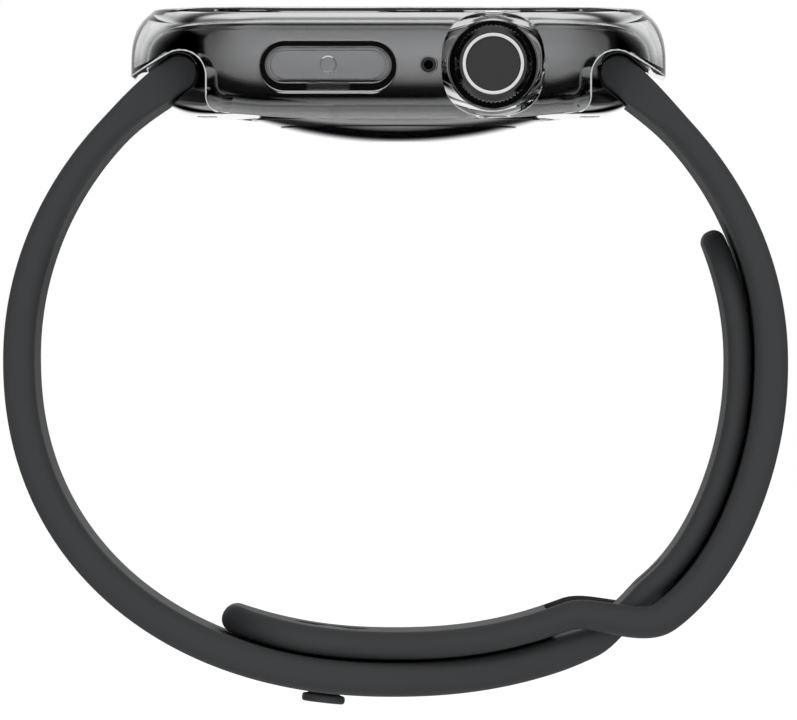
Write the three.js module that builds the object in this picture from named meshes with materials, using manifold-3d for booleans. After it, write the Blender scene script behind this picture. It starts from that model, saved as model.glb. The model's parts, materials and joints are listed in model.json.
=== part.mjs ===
// A wrist watch in a clear protective case, on a soft pin-and-tuck strap closed into a loop.
// Millimetres, +Z up through the screen, +X toward the 12 o'clock lug, -Y toward the crown.
// The origin is the lowest point of the domed back, where the watch lies on the wrist.

import * as THREE from 'three';
import { mergeVertices } from 'three/addons/utils/BufferGeometryUtils.js';
import Module from 'manifold-3d';

const wasm = await Module();
wasm.setup();

// Fits shared by the whole model
const overrun = 3;
const seatGap = 0.08;
const slideGap = 0.15;
const softGap = 0.3;

// Watch body: a rounded rectangle whose sides bulge between the back and the glass
const bodyLength = 45;
const bodyWidth = 38;
const bodyCorner = 11.5;
const backHeight = 2.3;
const waistHeight = 6.3;
const glassHeight = 10.8;
const shoulder = 5;
const lowerPower = 2;
const upperPower = 3;
const rimAngle = THREE.MathUtils.degToRad(48.2);
const cornerSteps = 6;
const smallCornerSteps = 3;

// Hollow of the body, the ledges under the glass and the opening in the back
const sideWall = 3;
const endWall = 6.1;
const floorThickness = 0.9;
const displaySeatDepth = 0.7;
const displayInset = 3;
const glassSeatDepth = 0.7;
const glassSeatInset = 1.75;

// Strap lugs and their channels across the body
const lugInset = 2.8;
const lugZ = 5.97;
const lugRadius = 1.65;
const lugAngle = THREE.MathUtils.degToRad(38.5);
const lugMouthLength = 9;

// Clear case: its outer form, its lips and its trimmed bottom edge
const caseWall = 1.36;
const caseGap = 0.18;
const caseWaistDrop = 0.8;
const caseTurn = 3.6;
const caseBottom = 1.74;
const lipRise = 1;
const lipDrop = 0.35;
const lipRound = 0.75;
const topLipInset = 2.6;
const bottomLipInset = 3.2;
const trimRise = 0.71;
const archShift = 0.2;
const archDrop = 0.32;
const archRadius = 2.27;
const archSlope = THREE.MathUtils.degToRad(29.4);
const archFootReach = 1.08;
const archFootZ = 2.45;
const archKneeZ = 3.9;

// Side button of the watch and the flexible flap of the case over it
const buttonX = -6.27;
const buttonZ = 6.6;
const buttonLength = 10.3;
const buttonHeight = 2.5;
const buttonProud = 0.1;
const buttonThickness = 1.1;
const buttonTravel = 0.3;
const postRadius = 0.7;
const postTail = 0.8;
const clipRadius = 1.3;
const clipThickness = 0.35;
const flapEnd = 0.45;
const flapSide = 0.4;
const flapSink = 0.03;
const grooveEnd = 0.515;
const grooveSide = 0.595;
const grooveSink = 0.17;
const flapThickness = 0.8;
const bridgeWidth = 3.85;
const bridgeGap = 0.1;
const pusherRadius = 0.74;

// Crown
const crownX = 8.43;
const crownZ = 6.65;
const crownRadius = 3.5;
const crownFluteDepth = 0.12;
const crownFlutes = 32;
const crownProud = 2.5;
const crownChamfer = 0.55;
const crownTravel = 0.35;
const crownRingInset = 0.75;
const crownRingWidth = 0.32;
const crownRingDepth = 0.35;
const wellGap = 0.45;
const wellDepth = 0.95;
const crownCutStep = 0.15;
const crownCutBevel = 0.5;
const shaftRadius = 0.85;
const shaftTailRadius = 0.6;
const bushingStep = 0.4;
const bushingWall = 0.25;
const bushingSleeveLength = 1.6;
const sealThickness = 0.65;
const sealWidth = 0.55;
const flangeRadius = 1.5;
const flangeThickness = 0.4;
const collarRadius = 1.7;
const collarThickness = 0.5;

// Microphone
const micX = 2.67;
const micZ = 6.6;
const micHoleRadius = 0.45;
const micCaseHoleRadius = 0.76;
const micRadius = 1.3;
const micLength = 1.3;

// Speaker slots on the side away from the crown
const speakerSlotHeight = 1.1;
const speakerSlotMargin = 0.6;
const speakerRib = 1.8;
const speakerZ = 6.3;
const speakerEndGap = 0.4;
const speakerHeight = 4;
const speakerDepth = 1.9;
const speakerCaseMargin = 0.3;
const speakerCaseHeight = 2.4;

// Release buttons for the strap, in the back of the body
const releaseInset = 2.4;
const releaseLength = 4.4;
const releaseWidth = 1.5;
const releaseThickness = 1;
const releasePocket = 1.5;
const releaseSink = 0.05;

// Glass, display and gaskets
const glassPlugInset = 0.1;
const gasketThickness = 0.1;
const gasketWidth = 0.85;
const displayThickness = 0.52;

// Back: ring, gasket, domed crystal, coil and sensor board
const ringLand = 1.3;
const ringSeat = 0.2;
const ringEdge = 0.15;
const ringBottom = 1.39;
const spigotWall = 0.7;
const spigotGap = 0.1;
const domeRadius = 10.65;
const domeSphere = 42.6;
const domeFlat = 3;
const domeSink = 0.4;
const domeGap = 0.1;
const backSegments = 36;
const coilInner = 5.3;
const coilInset = 0.75;
const coilThickness = 0.8;
const sensorThickness = 0.45;

// Inner pieces: their sizes, and how far they stay from the walls and from each other
const packGap = 0.4;
const displayGap = 1;
const batteryEndGap = 4.1;
const batteryCorner = 1;
const hapticDepth = 4.4;
const hapticCrownGap = 3.4;
const boardEndGap = 3.2;
const boardSideGap = 2.6;
const boardLength = 10;
const boardThickness = 0.8;
const boardCorner = 0.8;
const chipInset = 0.8;
const chipLength = 6.4;
const chipEndInset = 3.2;
const chipHeight = 1.5;
const screwInset = 1.4;
const screwSetback = 4;
const screwRadius = 0.4;
const screwHeadRadius = 0.8;
const screwHeadHeight = 0.4;
const screwDepth = 0.45;
const screwFit = 0.1;
const switchWidth = 4;
const switchHeight = 2;
const switchDepth = 1.7;
const crownSwitchWidth = 4.4;
const crownSwitchDepth = 2;
const encoderWidth = 2.5;

// The strap loop: a rounded oval, flatter below than above
const loopX = -0.3;
const loopZ = -19.5;
const loopOverhang = 11.25;
const loopUpperHeight = 31.2;
const loopLowerHeight = 28.9;
const loopUpperPower = 2;
const loopLowerPower = 2.18;
const noseBlend = THREE.MathUtils.degToRad(14);
const bulge = 1.5;
const bulgeAngle = THREE.MathUtils.degToRad(-43);
const bulgeAbove = THREE.MathUtils.degToRad(19);
const bulgeBelow = THREE.MathUtils.degToRad(8);
const pinCrossStart = THREE.MathUtils.degToRad(-44);
const pinCrossEnd = THREE.MathUtils.degToRad(-56);
const tailCrossStart = THREE.MathUtils.degToRad(-56);
const tailCrossEnd = THREE.MathUtils.degToRad(-42);
const tailThinStart = THREE.MathUtils.degToRad(-62);
const tailThinEnd = THREE.MathUtils.degToRad(-45);
const pinTipAngle = THREE.MathUtils.degToRad(-124);
const tailTipAngle = THREE.MathUtils.degToRad(22);

// The two strap halves
const strapWidth = 24;
const railWidth = 1.7;
const pinTipNarrowing = 1;
const lugEndRound = 0.3;
const edgeRound = 1.15;
const neckThickness = 2.5;
const neckReach = 8;
const sideThickness = 2.85;
const sideReach = 34;
const bottomThickness = 3.05;
const pinThickness = 3;
const tuckedPinThickness = 2.5;
const tailThickness = 2.05;
const tailTipRound = 8;
const pinTipRound = 8.5;
const layGap = 0.3;
const slotStart = THREE.MathUtils.degToRad(-42.5);
const slotEnd = THREE.MathUtils.degToRad(-59.5);
const slotCutDepth = 3.4;
const stationStep = THREE.MathUtils.degToRad(5);

// Clasp stud and the strap holes that it can go through
const studAngle = THREE.MathUtils.degToRad(-103);
const holePitch = 6.35;
const holesBefore = 1;
const holesAfter = 5;
const studNeckRadius = 1.35;
const studHeadRadius = 1.95;
const studHeadRise = 1.1;
const studHeadRound = 0.3;
const studBaseRadius = 2.9;
const studBaseThickness = 0.6;

// Catch and core inside each strap lug
const catchWidth = 15;
const catchHeight = 1.1;
const catchDepth = 0.75;
const coreDepth = 1.5;

// Materials
function finish(color, roughness, metalness, opacity = 1) {
  return new THREE.MeshStandardMaterial({
    color, roughness, metalness, opacity, transparent: opacity < 1,
  });
}

const graphite = () => finish(0x5c5c5e, 0.12, 1);
const blackGlass = () => finish(0x08080a, 0.04, 0);
const darkCrystal = () => finish(0x15151a, 0.05, 0);
const clearPlastic = () => finish(0xeef1f2, 0.06, 0, 0.35);
const rubber = () => finish(0x3e4042, 0.6, 0);
const sealRubber = () => finish(0x161616, 0.8, 0);
const ceramic = () => finish(0x4a4a4c, 0.15, 0);
const silver = () => finish(0xcfcfcf, 0.25, 1);
const steel = () => finish(0xa9abad, 0.35, 1);
const plastic = () => finish(0x232325, 0.55, 0);
const boardGreen = () => finish(0x1c4a32, 0.6, 0);
const foil = () => finish(0x6f7173, 0.4, 0.6);
const copper = () => finish(0xb4693b, 0.4, 0.9);

// Solids and booleans
function toSolid(geometry) {
  const bare = new THREE.BufferGeometry();
  bare.setAttribute('position', geometry.getAttribute('position'));
  if (geometry.index) {
    bare.setIndex(geometry.index);
  }
  const merged = mergeVertices(bare, 1e-5);
  return new wasm.Manifold(new wasm.Mesh({
    numProp: 3,
    vertProperties: new Float32Array(merged.getAttribute('position').array),
    triVerts: new Uint32Array(merged.index.array),
  }));
}

function toGeometry(solid) {
  const mesh = solid.getMesh();
  const geometry = new THREE.BufferGeometry();
  geometry.setAttribute('position', new THREE.BufferAttribute(mesh.vertProperties, 3));
  geometry.setIndex(new THREE.BufferAttribute(mesh.triVerts, 1));
  return geometry;
}

function cut(solid, ...tools) {
  return tools.reduce((left, tool) => left.subtract(tool), solid);
}

function join(...solids) {
  return solids.reduce((sum, solid) => sum.add(solid));
}

// A solid through rings of equally many points, first ring to last, closed by flat ends.
// A ring runs anticlockwise seen from the last ring, and its ends are convex.
function loft(rings) {
  const count = rings[0].length;
  const points = rings.flat();
  const faces = [];
  for (let level = 0; level + 1 < rings.length; level += 1) {
    for (let index = 0; index < count; index += 1) {
      const next = (index + 1) % count;
      const low = level * count;
      const high = low + count;
      faces.push(low + index, low + next, high + next);
      faces.push(low + index, high + next, high + index);
    }
  }
  const last = (rings.length - 1) * count;
  for (let index = 1; index + 1 < count; index += 1) {
    faces.push(0, index + 1, index);
    faces.push(last, last + index, last + index + 1);
  }
  const geometry = new THREE.BufferGeometry();
  geometry.setFromPoints(points);
  geometry.setIndex(faces);
  return toSolid(geometry);
}

// Points of a rounded rectangle at one height, anticlockwise seen from above
function roundRectangle(
  halfX, halfY, corner, height, middleX = 0, middleY = 0, steps = cornerSteps,
) {
  const points = [];
  for (let quarter = 0; quarter < 4; quarter += 1) {
    const signX = quarter === 0 || quarter === 3 ? 1 : -1;
    const signY = quarter < 2 ? 1 : -1;
    for (let step = 0; step <= steps; step += 1) {
      const angle = (quarter + step / steps) * Math.PI / 2;
      points.push(new THREE.Vector3(
        middleX + signX * (halfX - corner) + corner * Math.cos(angle),
        middleY + signY * (halfY - corner) + corner * Math.sin(angle),
        height,
      ));
    }
  }
  return points;
}

// A block with round upright edges between two heights
function roundBlock(left, right, front, rear, corner, low, high) {
  const halfX = (right - left) / 2;
  const halfY = (rear - front) / 2;
  return loft([low, high].map((height) => roundRectangle(
    halfX, halfY, corner, height, (left + right) / 2, (front + rear) / 2, smallCornerSteps,
  )));
}

// A solid of revolution: radius and height pairs, turned round +Z
function turned(profile, segments = 32) {
  const outline = profile.map(([radius, height]) => new THREE.Vector2(radius, height));
  const closed = profile[0][0] > 0 ? [...outline, outline[0].clone()] : outline;
  const geometry = new THREE.LatheGeometry(closed, segments);
  geometry.rotateX(Math.PI / 2);
  const solid = toSolid(geometry);
  return solid.volume() < 0 ? toSolid(flipped(geometry)) : solid;
}

function flipped(geometry) {
  const copy = geometry.clone();
  const order = copy.index.array;
  for (let face = 0; face < order.length; face += 3) {
    [order[face + 1], order[face + 2]] = [order[face + 2], order[face + 1]];
  }
  return copy;
}

// A round bar or hole along +Z from a low to a high place
function bar(radius, low, high, segments = 24) {
  return turned([[0, low], [radius, low], [radius, high], [0, high]], segments);
}

// Turns a solid made round +Z so that its +Z points along -Y, toward the crown side
function towardCrown(solid, x, z) {
  return solid.rotate([90, 0, 0]).translate([x, 0, z]);
}

// An outline in X and Z, extruded from one Y to another
function prism(outline, nearY, farY) {
  const shape = new THREE.Shape(outline.map(([x, z]) => new THREE.Vector2(x, z)));
  const geometry = new THREE.ExtrudeGeometry(shape, { depth: farY - nearY, bevelEnabled: false });
  geometry.rotateX(Math.PI / 2);
  geometry.translate(0, farY, 0);
  return toSolid(geometry);
}

// A pill outline in X and Z, longer along X
function pill(middleX, middleZ, length, height, steps = 8) {
  const radius = height / 2;
  const reach = length / 2 - radius;
  const points = [];
  for (let end = 0; end < 2; end += 1) {
    const side = end === 0 ? 1 : -1;
    for (let step = 0; step <= steps; step += 1) {
      const angle = -Math.PI / 2 + (end + step / steps) * Math.PI;
      points.push([
        middleX + side * reach + radius * Math.cos(angle),
        middleZ + radius * Math.sin(angle),
      ]);
    }
  }
  return points;
}

function mirrored(outline) {
  return outline.map(([x, z]) => [-x, z]).reverse();
}

// The watch body's surface at one angle round its side: -90 degrees at the back, 0 at the
// widest line and 90 at the flat of the glass. grow moves the whole surface outward.
function bodyRing(angle, grow = 0) {
  const power = angle < 0 ? lowerPower : upperPower;
  const reach = (angle < 0 ? waistHeight - backHeight : glassHeight - waistHeight) + grow;
  const rise = Math.pow(Math.abs(Math.sin(angle)), 2 / power);
  const inset = (shoulder + grow) * (1 - Math.pow(Math.abs(Math.cos(angle)), 2 / power));
  return roundRectangle(
    bodyLength / 2 + grow - inset,
    bodyWidth / 2 + grow - inset,
    bodyCorner + grow - inset,
    waistHeight + Math.sign(angle) * reach * rise,
  );
}

function bodyRings(from, to, steps, grow = 0) {
  return Array.from({ length: steps + 1 }, (unused, step) => (
    bodyRing(from + (to - from) * step / steps, grow)
  ));
}

function bodyInsetBlock(inset, low, high) {
  return loft([low, high].map((height) => roundRectangle(
    bodyLength / 2 - inset, bodyWidth / 2 - inset, bodyCorner - inset, height,
  )));
}

const rimHeight = bodyRing(rimAngle)[0].z;
const bodySide = bodyWidth / 2;
const cavitySide = bodySide - sideWall;
const cavityEnd = bodyLength / 2 - endWall;
const cavityCorner = bodyCorner - sideWall;
const cavityFloor = backHeight + floorThickness;
const floorSeat = cavityFloor + seatGap;
const glassLedge = rimHeight - glassSeatDepth;
const displayLedge = glassLedge - displaySeatDepth;

// Places that follow the body: lugs and what goes with them, the case's lip and waist
const lugX = bodyLength / 2 - lugInset;
const loopHalfWidth = bodyLength / 2 + loopOverhang;
const releaseX = lugX - releaseInset;
const archX = lugX - archShift;
const archZ = lugZ - archDrop;
const archFootX = archX - archRadius - archFootReach;
const caseWaist = waistHeight - caseWaistDrop;
const caseTop = glassHeight + lipRise;
const lipShoulderHeight = caseTop - lipDrop;
const caseGrow = caseWall + caseGap;
const caseRise = (lipShoulderHeight - waistHeight) / (glassHeight - waistHeight + caseGrow);
const lipAngle = Math.asin(Math.pow(caseRise, upperPower / 2));

// The back: the dome's crystal in its ring, the ring's spigot in the body and the parts inside
const domeTop = backHeight - domeSink;
const ringTop = backHeight - ringSeat;
const spigotTop = cavityFloor - spigotGap;
const spigotRadius = domeRadius + domeGap + spigotWall;
const backHoleRadius = spigotRadius + slideGap;
const ringRadius = backHoleRadius + ringLand;
const coilOuter = domeRadius - coilInset;
const sensorRadius = coilInner - packGap;

// The flap over the side button and the groove round it
const flapLength = buttonLength + 2 * flapEnd;
const flapHeight = buttonHeight + 2 * flapSide;
const flapZ = buttonZ - flapSink;
const grooveLength = flapLength + 2 * grooveEnd;
const grooveHeight = flapHeight + 2 * grooveSide;
const grooveZ = buttonZ - grooveSink;

// Radii round the crown's axis
const crownFace = bodySide + crownProud;
const crownRingRadius = crownRadius - crownRingInset;
const wellRadius = crownRadius + wellGap;
const crownCutRadius = wellRadius + crownCutStep;
const sealRadius = shaftRadius + sealThickness;
const bushingSleeveRadius = sealRadius + bushingWall;
const bushingRadius = bushingSleeveRadius + bushingStep;

// The speaker lies along the flat of its wall, with a slot on each side of a rib
const speakerLength = 2 * (cavityEnd - cavityCorner - speakerEndGap);
const speakerSlotLength = (speakerLength - speakerRib) / 2 - speakerSlotMargin;
const speakerSlotX = (speakerRib + speakerSlotLength) / 2;
const speakerCaseLength = speakerLength + 2 * speakerCaseMargin;

// The side button's line, from its face to the switch behind its post
const buttonFace = bodySide + buttonProud;
const buttonBack = buttonFace - buttonThickness;
const clipFront = cavitySide - seatGap;
const postEnd = clipFront - clipThickness - postTail;
const switchFront = postEnd - buttonTravel - slideGap;
const switchRear = switchFront - switchDepth;

// Inner pieces from wall to wall: haptic motor, battery and speaker, with the board beside them
const speakerRear = cavitySide - seatGap;
const hapticFront = -switchRear + seatGap;
const hapticRear = hapticFront + hapticDepth;
const batteryFront = hapticRear + packGap;
const batteryRear = speakerRear - speakerDepth - packGap;
const batteryTop = displayLedge - displayGap;
const hapticRight = crownX - crownSwitchWidth / 2 - hapticCrownGap;
const boardRight = cavityEnd - boardEndGap;
const boardLeft = boardRight - boardLength;
const batteryRight = boardLeft - packGap;
const batteryLeft = -cavityEnd + batteryEndGap;
const boardFront = batteryFront;
const boardRear = cavitySide - boardSideGap;
const chipLeft = boardLeft + chipInset;
const screwPlaces = [
  [boardRight - screwInset, boardRear - screwSetback],
  [boardRight - screwInset, boardFront + screwInset],
  [boardLeft + screwInset, boardRear - screwInset],
];

// The channel that a strap lug slides through: a round seat and a mouth that leads out and down
function lugChannelOutline() {
  const radius = lugRadius + slideGap;
  const outward = [Math.cos(lugAngle), -Math.sin(lugAngle)];
  const upward = [Math.sin(lugAngle), Math.cos(lugAngle)];
  const points = [];
  const steps = 16;
  for (let step = 0; step <= steps; step += 1) {
    const turn = Math.PI * step / steps;
    const up = Math.cos(turn) * radius;
    const out = -Math.sin(turn) * radius;
    points.push([
      lugX + upward[0] * up + outward[0] * out,
      lugZ + upward[1] * up + outward[1] * out,
    ]);
  }
  for (const side of [-1, 1]) {
    points.push([
      lugX + outward[0] * lugMouthLength + upward[0] * radius * side,
      lugZ + outward[1] * lugMouthLength + upward[1] * radius * side,
    ]);
  }
  return points;
}

function releasePocketBlock(side, clearance, low, high) {
  const width = releaseWidth / 2 + clearance;
  const length = releaseLength / 2 + clearance;
  const middle = side * releaseX;
  return loft([low, high].map((height) => (
    roundRectangle(width, length, width * 0.98, height, middle, 0, smallCornerSteps + 1)
  )));
}

function speakerSlots(length, height, near, far) {
  return [-1, 1].map((side) => prism(
    pill(side * speakerSlotX, speakerZ, length, height), near, far,
  ));
}

function watchHousing() {
  const skin = loft(bodyRings(-Math.PI / 2, 0, 6).concat(bodyRings(0, rimAngle, 4).slice(1)));
  const channel = lugChannelOutline();
  const half = bodyWidth / 2 + overrun;
  const cavity = loft([cavityFloor, displayLedge + overrun].map((height) => roundRectangle(
    cavityEnd, cavitySide, cavityCorner, height,
  )));
  const bushingHole = towardCrown(
    bar(bushingRadius + seatGap, cavitySide - overrun, bodySide + overrun), crownX, crownZ,
  );
  const tapped = screwPlaces.map(([x, y]) => (
    bar(screwRadius + screwFit, cavityFloor - screwDepth - screwFit, cavityFloor + overrun, 12)
      .translate([x, y, 0])
  ));
  return cut(
    skin,
    cavity,
    bodyInsetBlock(displayInset, displayLedge, glassHeight + overrun),
    bodyInsetBlock(glassSeatInset, glassLedge, glassHeight + overrun),
    bar(backHoleRadius, 0, cavityFloor + overrun, backSegments),
    prism(channel, -half, half),
    prism(mirrored(channel), -half, half),
    prism(
      pill(buttonX, buttonZ, buttonLength + slideGap * 2, buttonHeight + slideGap * 2),
      -half, -bodySide - buttonProud + buttonThickness + buttonTravel + slideGap,
    ),
    towardCrown(bar(postRadius + slideGap, 0, half, 24), buttonX, buttonZ),
    towardCrown(bar(clipRadius + slideGap, 0, cavitySide, 24), buttonX, buttonZ),
    roundBlock(
      crownX - encoderWidth / 2 - slideGap, crownX + encoderWidth / 2 + slideGap,
      -flangeFront - slideGap, 0, boardCorner / 2, cavityFloor, displayLedge,
    ),
    towardCrown(bar(wellRadius, bodySide - wellDepth, half, 32), crownX, crownZ),
    bushingHole,
    towardCrown(bar(micHoleRadius, 0, half, 20), micX, micZ),
    ...speakerSlots(speakerSlotLength, speakerSlotHeight, 0, half),
    releasePocketBlock(1, slideGap, 0, backHeight + releasePocket),
    releasePocketBlock(-1, slideGap, 0, backHeight + releasePocket),
    ...tapped,
  );
}

function frontCrystal() {
  const lift = seatGap;
  const rings = bodyRings(rimAngle, Math.PI / 2, 6);
  const cap = loft(rings.map((ring, level) => ring.map((point) => (
    level === 0 ? point.clone().setZ(point.z + lift) : point
  ))));
  const plug = bodyInsetBlock(
    glassSeatInset + glassPlugInset,
    glassLedge + gasketThickness + seatGap * 2,
    rimHeight + lift * 2,
  );
  return join(cap, plug);
}

function crystalGasket() {
  const low = glassLedge + seatGap;
  const outer = bodyInsetBlock(glassSeatInset + glassPlugInset, low, low + gasketThickness);
  const inner = bodyInsetBlock(
    glassSeatInset + glassPlugInset + gasketWidth, low - overrun, low + overrun,
  );
  return cut(outer, inner);
}

function displayPanel() {
  const low = displayLedge + seatGap;
  return bodyInsetBlock(displayInset + slideGap, low, low + displayThickness);
}

// Back of the watch
function backCover() {
  return turned([
    [domeRadius + domeGap, ringBottom],
    [domeRadius + domeGap * 2, ringBottom],
    [ringRadius, ringTop - ringEdge],
    [ringRadius, ringTop],
    [spigotRadius, ringTop],
    [spigotRadius, spigotTop],
    [domeRadius + domeGap, spigotTop],
  ], backSegments);
}

function backGasket() {
  const middle = (backHeight + ringTop) / 2;
  const half = (backHeight - ringTop) / 2 - seatGap / 2;
  const inner = backHoleRadius + slideGap;
  const outer = ringRadius - slideGap * 2;
  return turned([
    [inner, middle - half], [outer, middle - half], [outer, middle + half], [inner, middle + half],
  ], backSegments);
}

function sensorCrystal() {
  const steps = 4;
  const profile = [[0, 0], [domeFlat, 0]];
  const drop = domeSphere - Math.sqrt(domeSphere ** 2 - domeFlat ** 2);
  for (let step = 1; step <= steps; step += 1) {
    const radius = domeFlat + (domeRadius - domeFlat) * step / steps;
    profile.push([radius, domeSphere - Math.sqrt(domeSphere ** 2 - radius ** 2) - drop]);
  }
  profile.push([domeRadius, domeTop], [0, domeTop]);
  return turned(profile, backSegments);
}

function chargingCoil() {
  const low = domeTop + seatGap;
  const high = low + coilThickness;
  return turned([[coilInner, low], [coilOuter, low], [coilOuter, high], [coilInner, high]], 32);
}

function sensorBoard() {
  const low = domeTop + seatGap;
  return bar(sensorRadius, low, low + sensorThickness, 24);
}

// Power, electronics and transducers
function batteryCell() {
  return roundBlock(
    batteryLeft, batteryRight, batteryFront, batteryRear, batteryCorner,
    floorSeat, batteryTop,
  );
}

function hapticMotor() {
  return roundBlock(
    batteryLeft, hapticRight, hapticFront, hapticRear, batteryCorner,
    floorSeat, batteryTop,
  );
}

function mainBoard() {
  const plate = roundBlock(
    boardLeft, boardRight, boardFront, boardRear, boardCorner, floorSeat, floorSeat + boardThickness,
  );
  const holes = screwPlaces.map(([x, y]) => (
    bar(screwRadius + screwFit, 0, cavityFloor + overrun, 12).translate([x, y, 0])
  ));
  return cut(plate, ...holes);
}

function processorModule() {
  const low = floorSeat + boardThickness + seatGap;
  return roundBlock(
    chipLeft, chipLeft + chipLength, boardFront + chipEndInset, boardRear - chipEndInset,
    boardCorner, low, low + chipHeight,
  );
}

function boardScrew([x, y]) {
  const headLow = floorSeat + boardThickness + seatGap;
  return turned([
    [0, cavityFloor - screwDepth],
    [screwRadius, cavityFloor - screwDepth],
    [screwRadius, headLow],
    [screwHeadRadius, headLow],
    [screwHeadRadius, headLow + screwHeadHeight],
    [0, headLow + screwHeadHeight],
  ], 12).translate([x, y, 0]);
}

function speakerModule() {
  return prism([
    [-speakerLength / 2, speakerZ - speakerHeight / 2],
    [speakerLength / 2, speakerZ - speakerHeight / 2],
    [speakerLength / 2, speakerZ + speakerHeight / 2],
    [-speakerLength / 2, speakerZ + speakerHeight / 2],
  ], speakerRear - speakerDepth, speakerRear);
}

function microphoneCapsule() {
  const rear = cavitySide - seatGap;
  return towardCrown(bar(micRadius, rear - micLength, rear, 24), micX, micZ);
}

// Side button: a pill cap with a post through the wall, a clip on the post and its switch
function sideButton() {
  const cap = prism(pill(buttonX, buttonZ, buttonLength, buttonHeight), -buttonFace, -buttonBack);
  const post = towardCrown(bar(postRadius, postEnd, buttonBack + seatGap, 24), buttonX, buttonZ);
  return join(cap, post);
}

function sideButtonClip() {
  const inner = postRadius + seatGap;
  const rear = clipFront - clipThickness;
  return towardCrown(turned([
    [inner, rear], [clipRadius, rear], [clipRadius, clipFront], [inner, clipFront],
  ], 24), buttonX, buttonZ);
}

function sideButtonSwitch() {
  const halfWidth = switchWidth / 2;
  const halfHeight = switchHeight / 2;
  return prism([
    [buttonX - halfWidth, buttonZ - halfHeight],
    [buttonX + halfWidth, buttonZ - halfHeight],
    [buttonX + halfWidth, buttonZ + halfHeight],
    [buttonX - halfWidth, buttonZ + halfHeight],
  ], -switchFront, -switchRear);
}

// Crown: knurled knob, bright ring, cap, shaft, seal, bushing, collar, encoder and switch
const knobBack = bodySide - wellDepth + crownTravel + slideGap;
const socketDepth = (crownFace - knobBack) * 0.4;
const bushingFront = bodySide - wellDepth - seatGap;
const bushingRear = cavitySide - bushingSleeveLength;
const flangeFront = bushingRear - seatGap;
const collarFront = flangeFront - flangeThickness - seatGap;
const shaftEnd = collarFront - collarThickness - slideGap;
const sealFront = bushingFront - seatGap;

function fluteRing(radius, depth, place) {
  const points = [];
  const perFlute = 3;
  const count = crownFlutes * perFlute;
  for (let index = 0; index < count; index += 1) {
    const angle = 2 * Math.PI * index / count;
    const wave = (1 + Math.cos(crownFlutes * angle)) / 2;
    const reach = radius - depth * wave;
    points.push(new THREE.Vector3(reach * Math.cos(angle), reach * Math.sin(angle), place));
  }
  return points;
}

function crownKnob() {
  const flat = crownRadius - crownChamfer;
  const knob = loft([
    fluteRing(crownRadius - crownChamfer / 2, 0, knobBack),
    fluteRing(crownRadius, crownFluteDepth, knobBack + crownChamfer / 2),
    fluteRing(crownRadius, crownFluteDepth, crownFace - crownChamfer),
    fluteRing(flat, 0, crownFace),
  ]);
  const pocket = bar(crownRingRadius + seatGap, crownFace - crownRingDepth, crownFace + overrun, 32);
  const socket = bar(shaftRadius + seatGap, 0, knobBack + socketDepth, 24);
  return towardCrown(cut(knob, pocket, socket), crownX, crownZ);
}

function crownRing() {
  const low = crownFace - crownRingDepth + seatGap;
  const inner = crownRingRadius - crownRingWidth;
  return towardCrown(turned([
    [inner, low], [crownRingRadius, low], [crownRingRadius, crownFace], [inner, crownFace],
  ], 32), crownX, crownZ);
}

function crownCap() {
  const low = crownFace - crownRingDepth + seatGap;
  const radius = crownRingRadius - crownRingWidth - seatGap;
  return towardCrown(bar(radius, low, crownFace - seatGap / 2, 32), crownX, crownZ);
}

function crownShaft() {
  return towardCrown(turned([
    [0, shaftEnd],
    [shaftTailRadius, shaftEnd],
    [shaftTailRadius, flangeFront - flangeThickness],
    [flangeRadius, flangeFront - flangeThickness],
    [flangeRadius, flangeFront],
    [shaftRadius, flangeFront],
    [shaftRadius, knobBack + socketDepth - seatGap],
    [0, knobBack + socketDepth - seatGap],
  ], 24), crownX, crownZ);
}

function crownCollar() {
  const inner = shaftTailRadius + slideGap;
  const rear = collarFront - collarThickness;
  return towardCrown(turned([
    [inner, rear], [collarRadius, rear], [collarRadius, collarFront], [inner, collarFront],
  ], 24), crownX, crownZ);
}

function crownBushing() {
  const bore = shaftRadius + slideGap;
  const counterbore = sealRadius + seatGap;
  const shelf = sealFront - sealWidth - seatGap;
  return towardCrown(turned([
    [bore, bushingRear],
    [bushingSleeveRadius, bushingRear],
    [bushingSleeveRadius, cavitySide],
    [bushingRadius, cavitySide],
    [bushingRadius, bushingFront],
    [counterbore, bushingFront],
    [counterbore, shelf],
    [bore, shelf],
  ], 24), crownX, crownZ);
}

function crownSeal() {
  const inner = shaftRadius + slideGap / 2;
  const rear = sealFront - sealWidth;
  return towardCrown(turned([
    [inner, rear], [sealRadius, rear], [sealRadius, sealFront], [inner, sealFront],
  ], 24), crownX, crownZ);
}

function crownSwitch() {
  const front = shaftEnd - crownTravel - slideGap;
  return roundBlock(
    crownX - crownSwitchWidth / 2, crownX + crownSwitchWidth / 2,
    -front, -front + crownSwitchDepth, boardCorner / 2, floorSeat, displayLedge - packGap,
  );
}

function crownEncoder() {
  return roundBlock(
    crownX - encoderWidth / 2, crownX + encoderWidth / 2,
    -flangeFront, -collarFront + collarThickness, boardCorner / 4,
    floorSeat, crownZ - collarRadius - slideGap,
  );
}

// Clear case
function casePlan(inset, height) {
  const grow = caseGrow - inset;
  return roundRectangle(bodyLength / 2 + grow, bodyWidth / 2 + grow, bodyCorner + grow, height);
}

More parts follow.
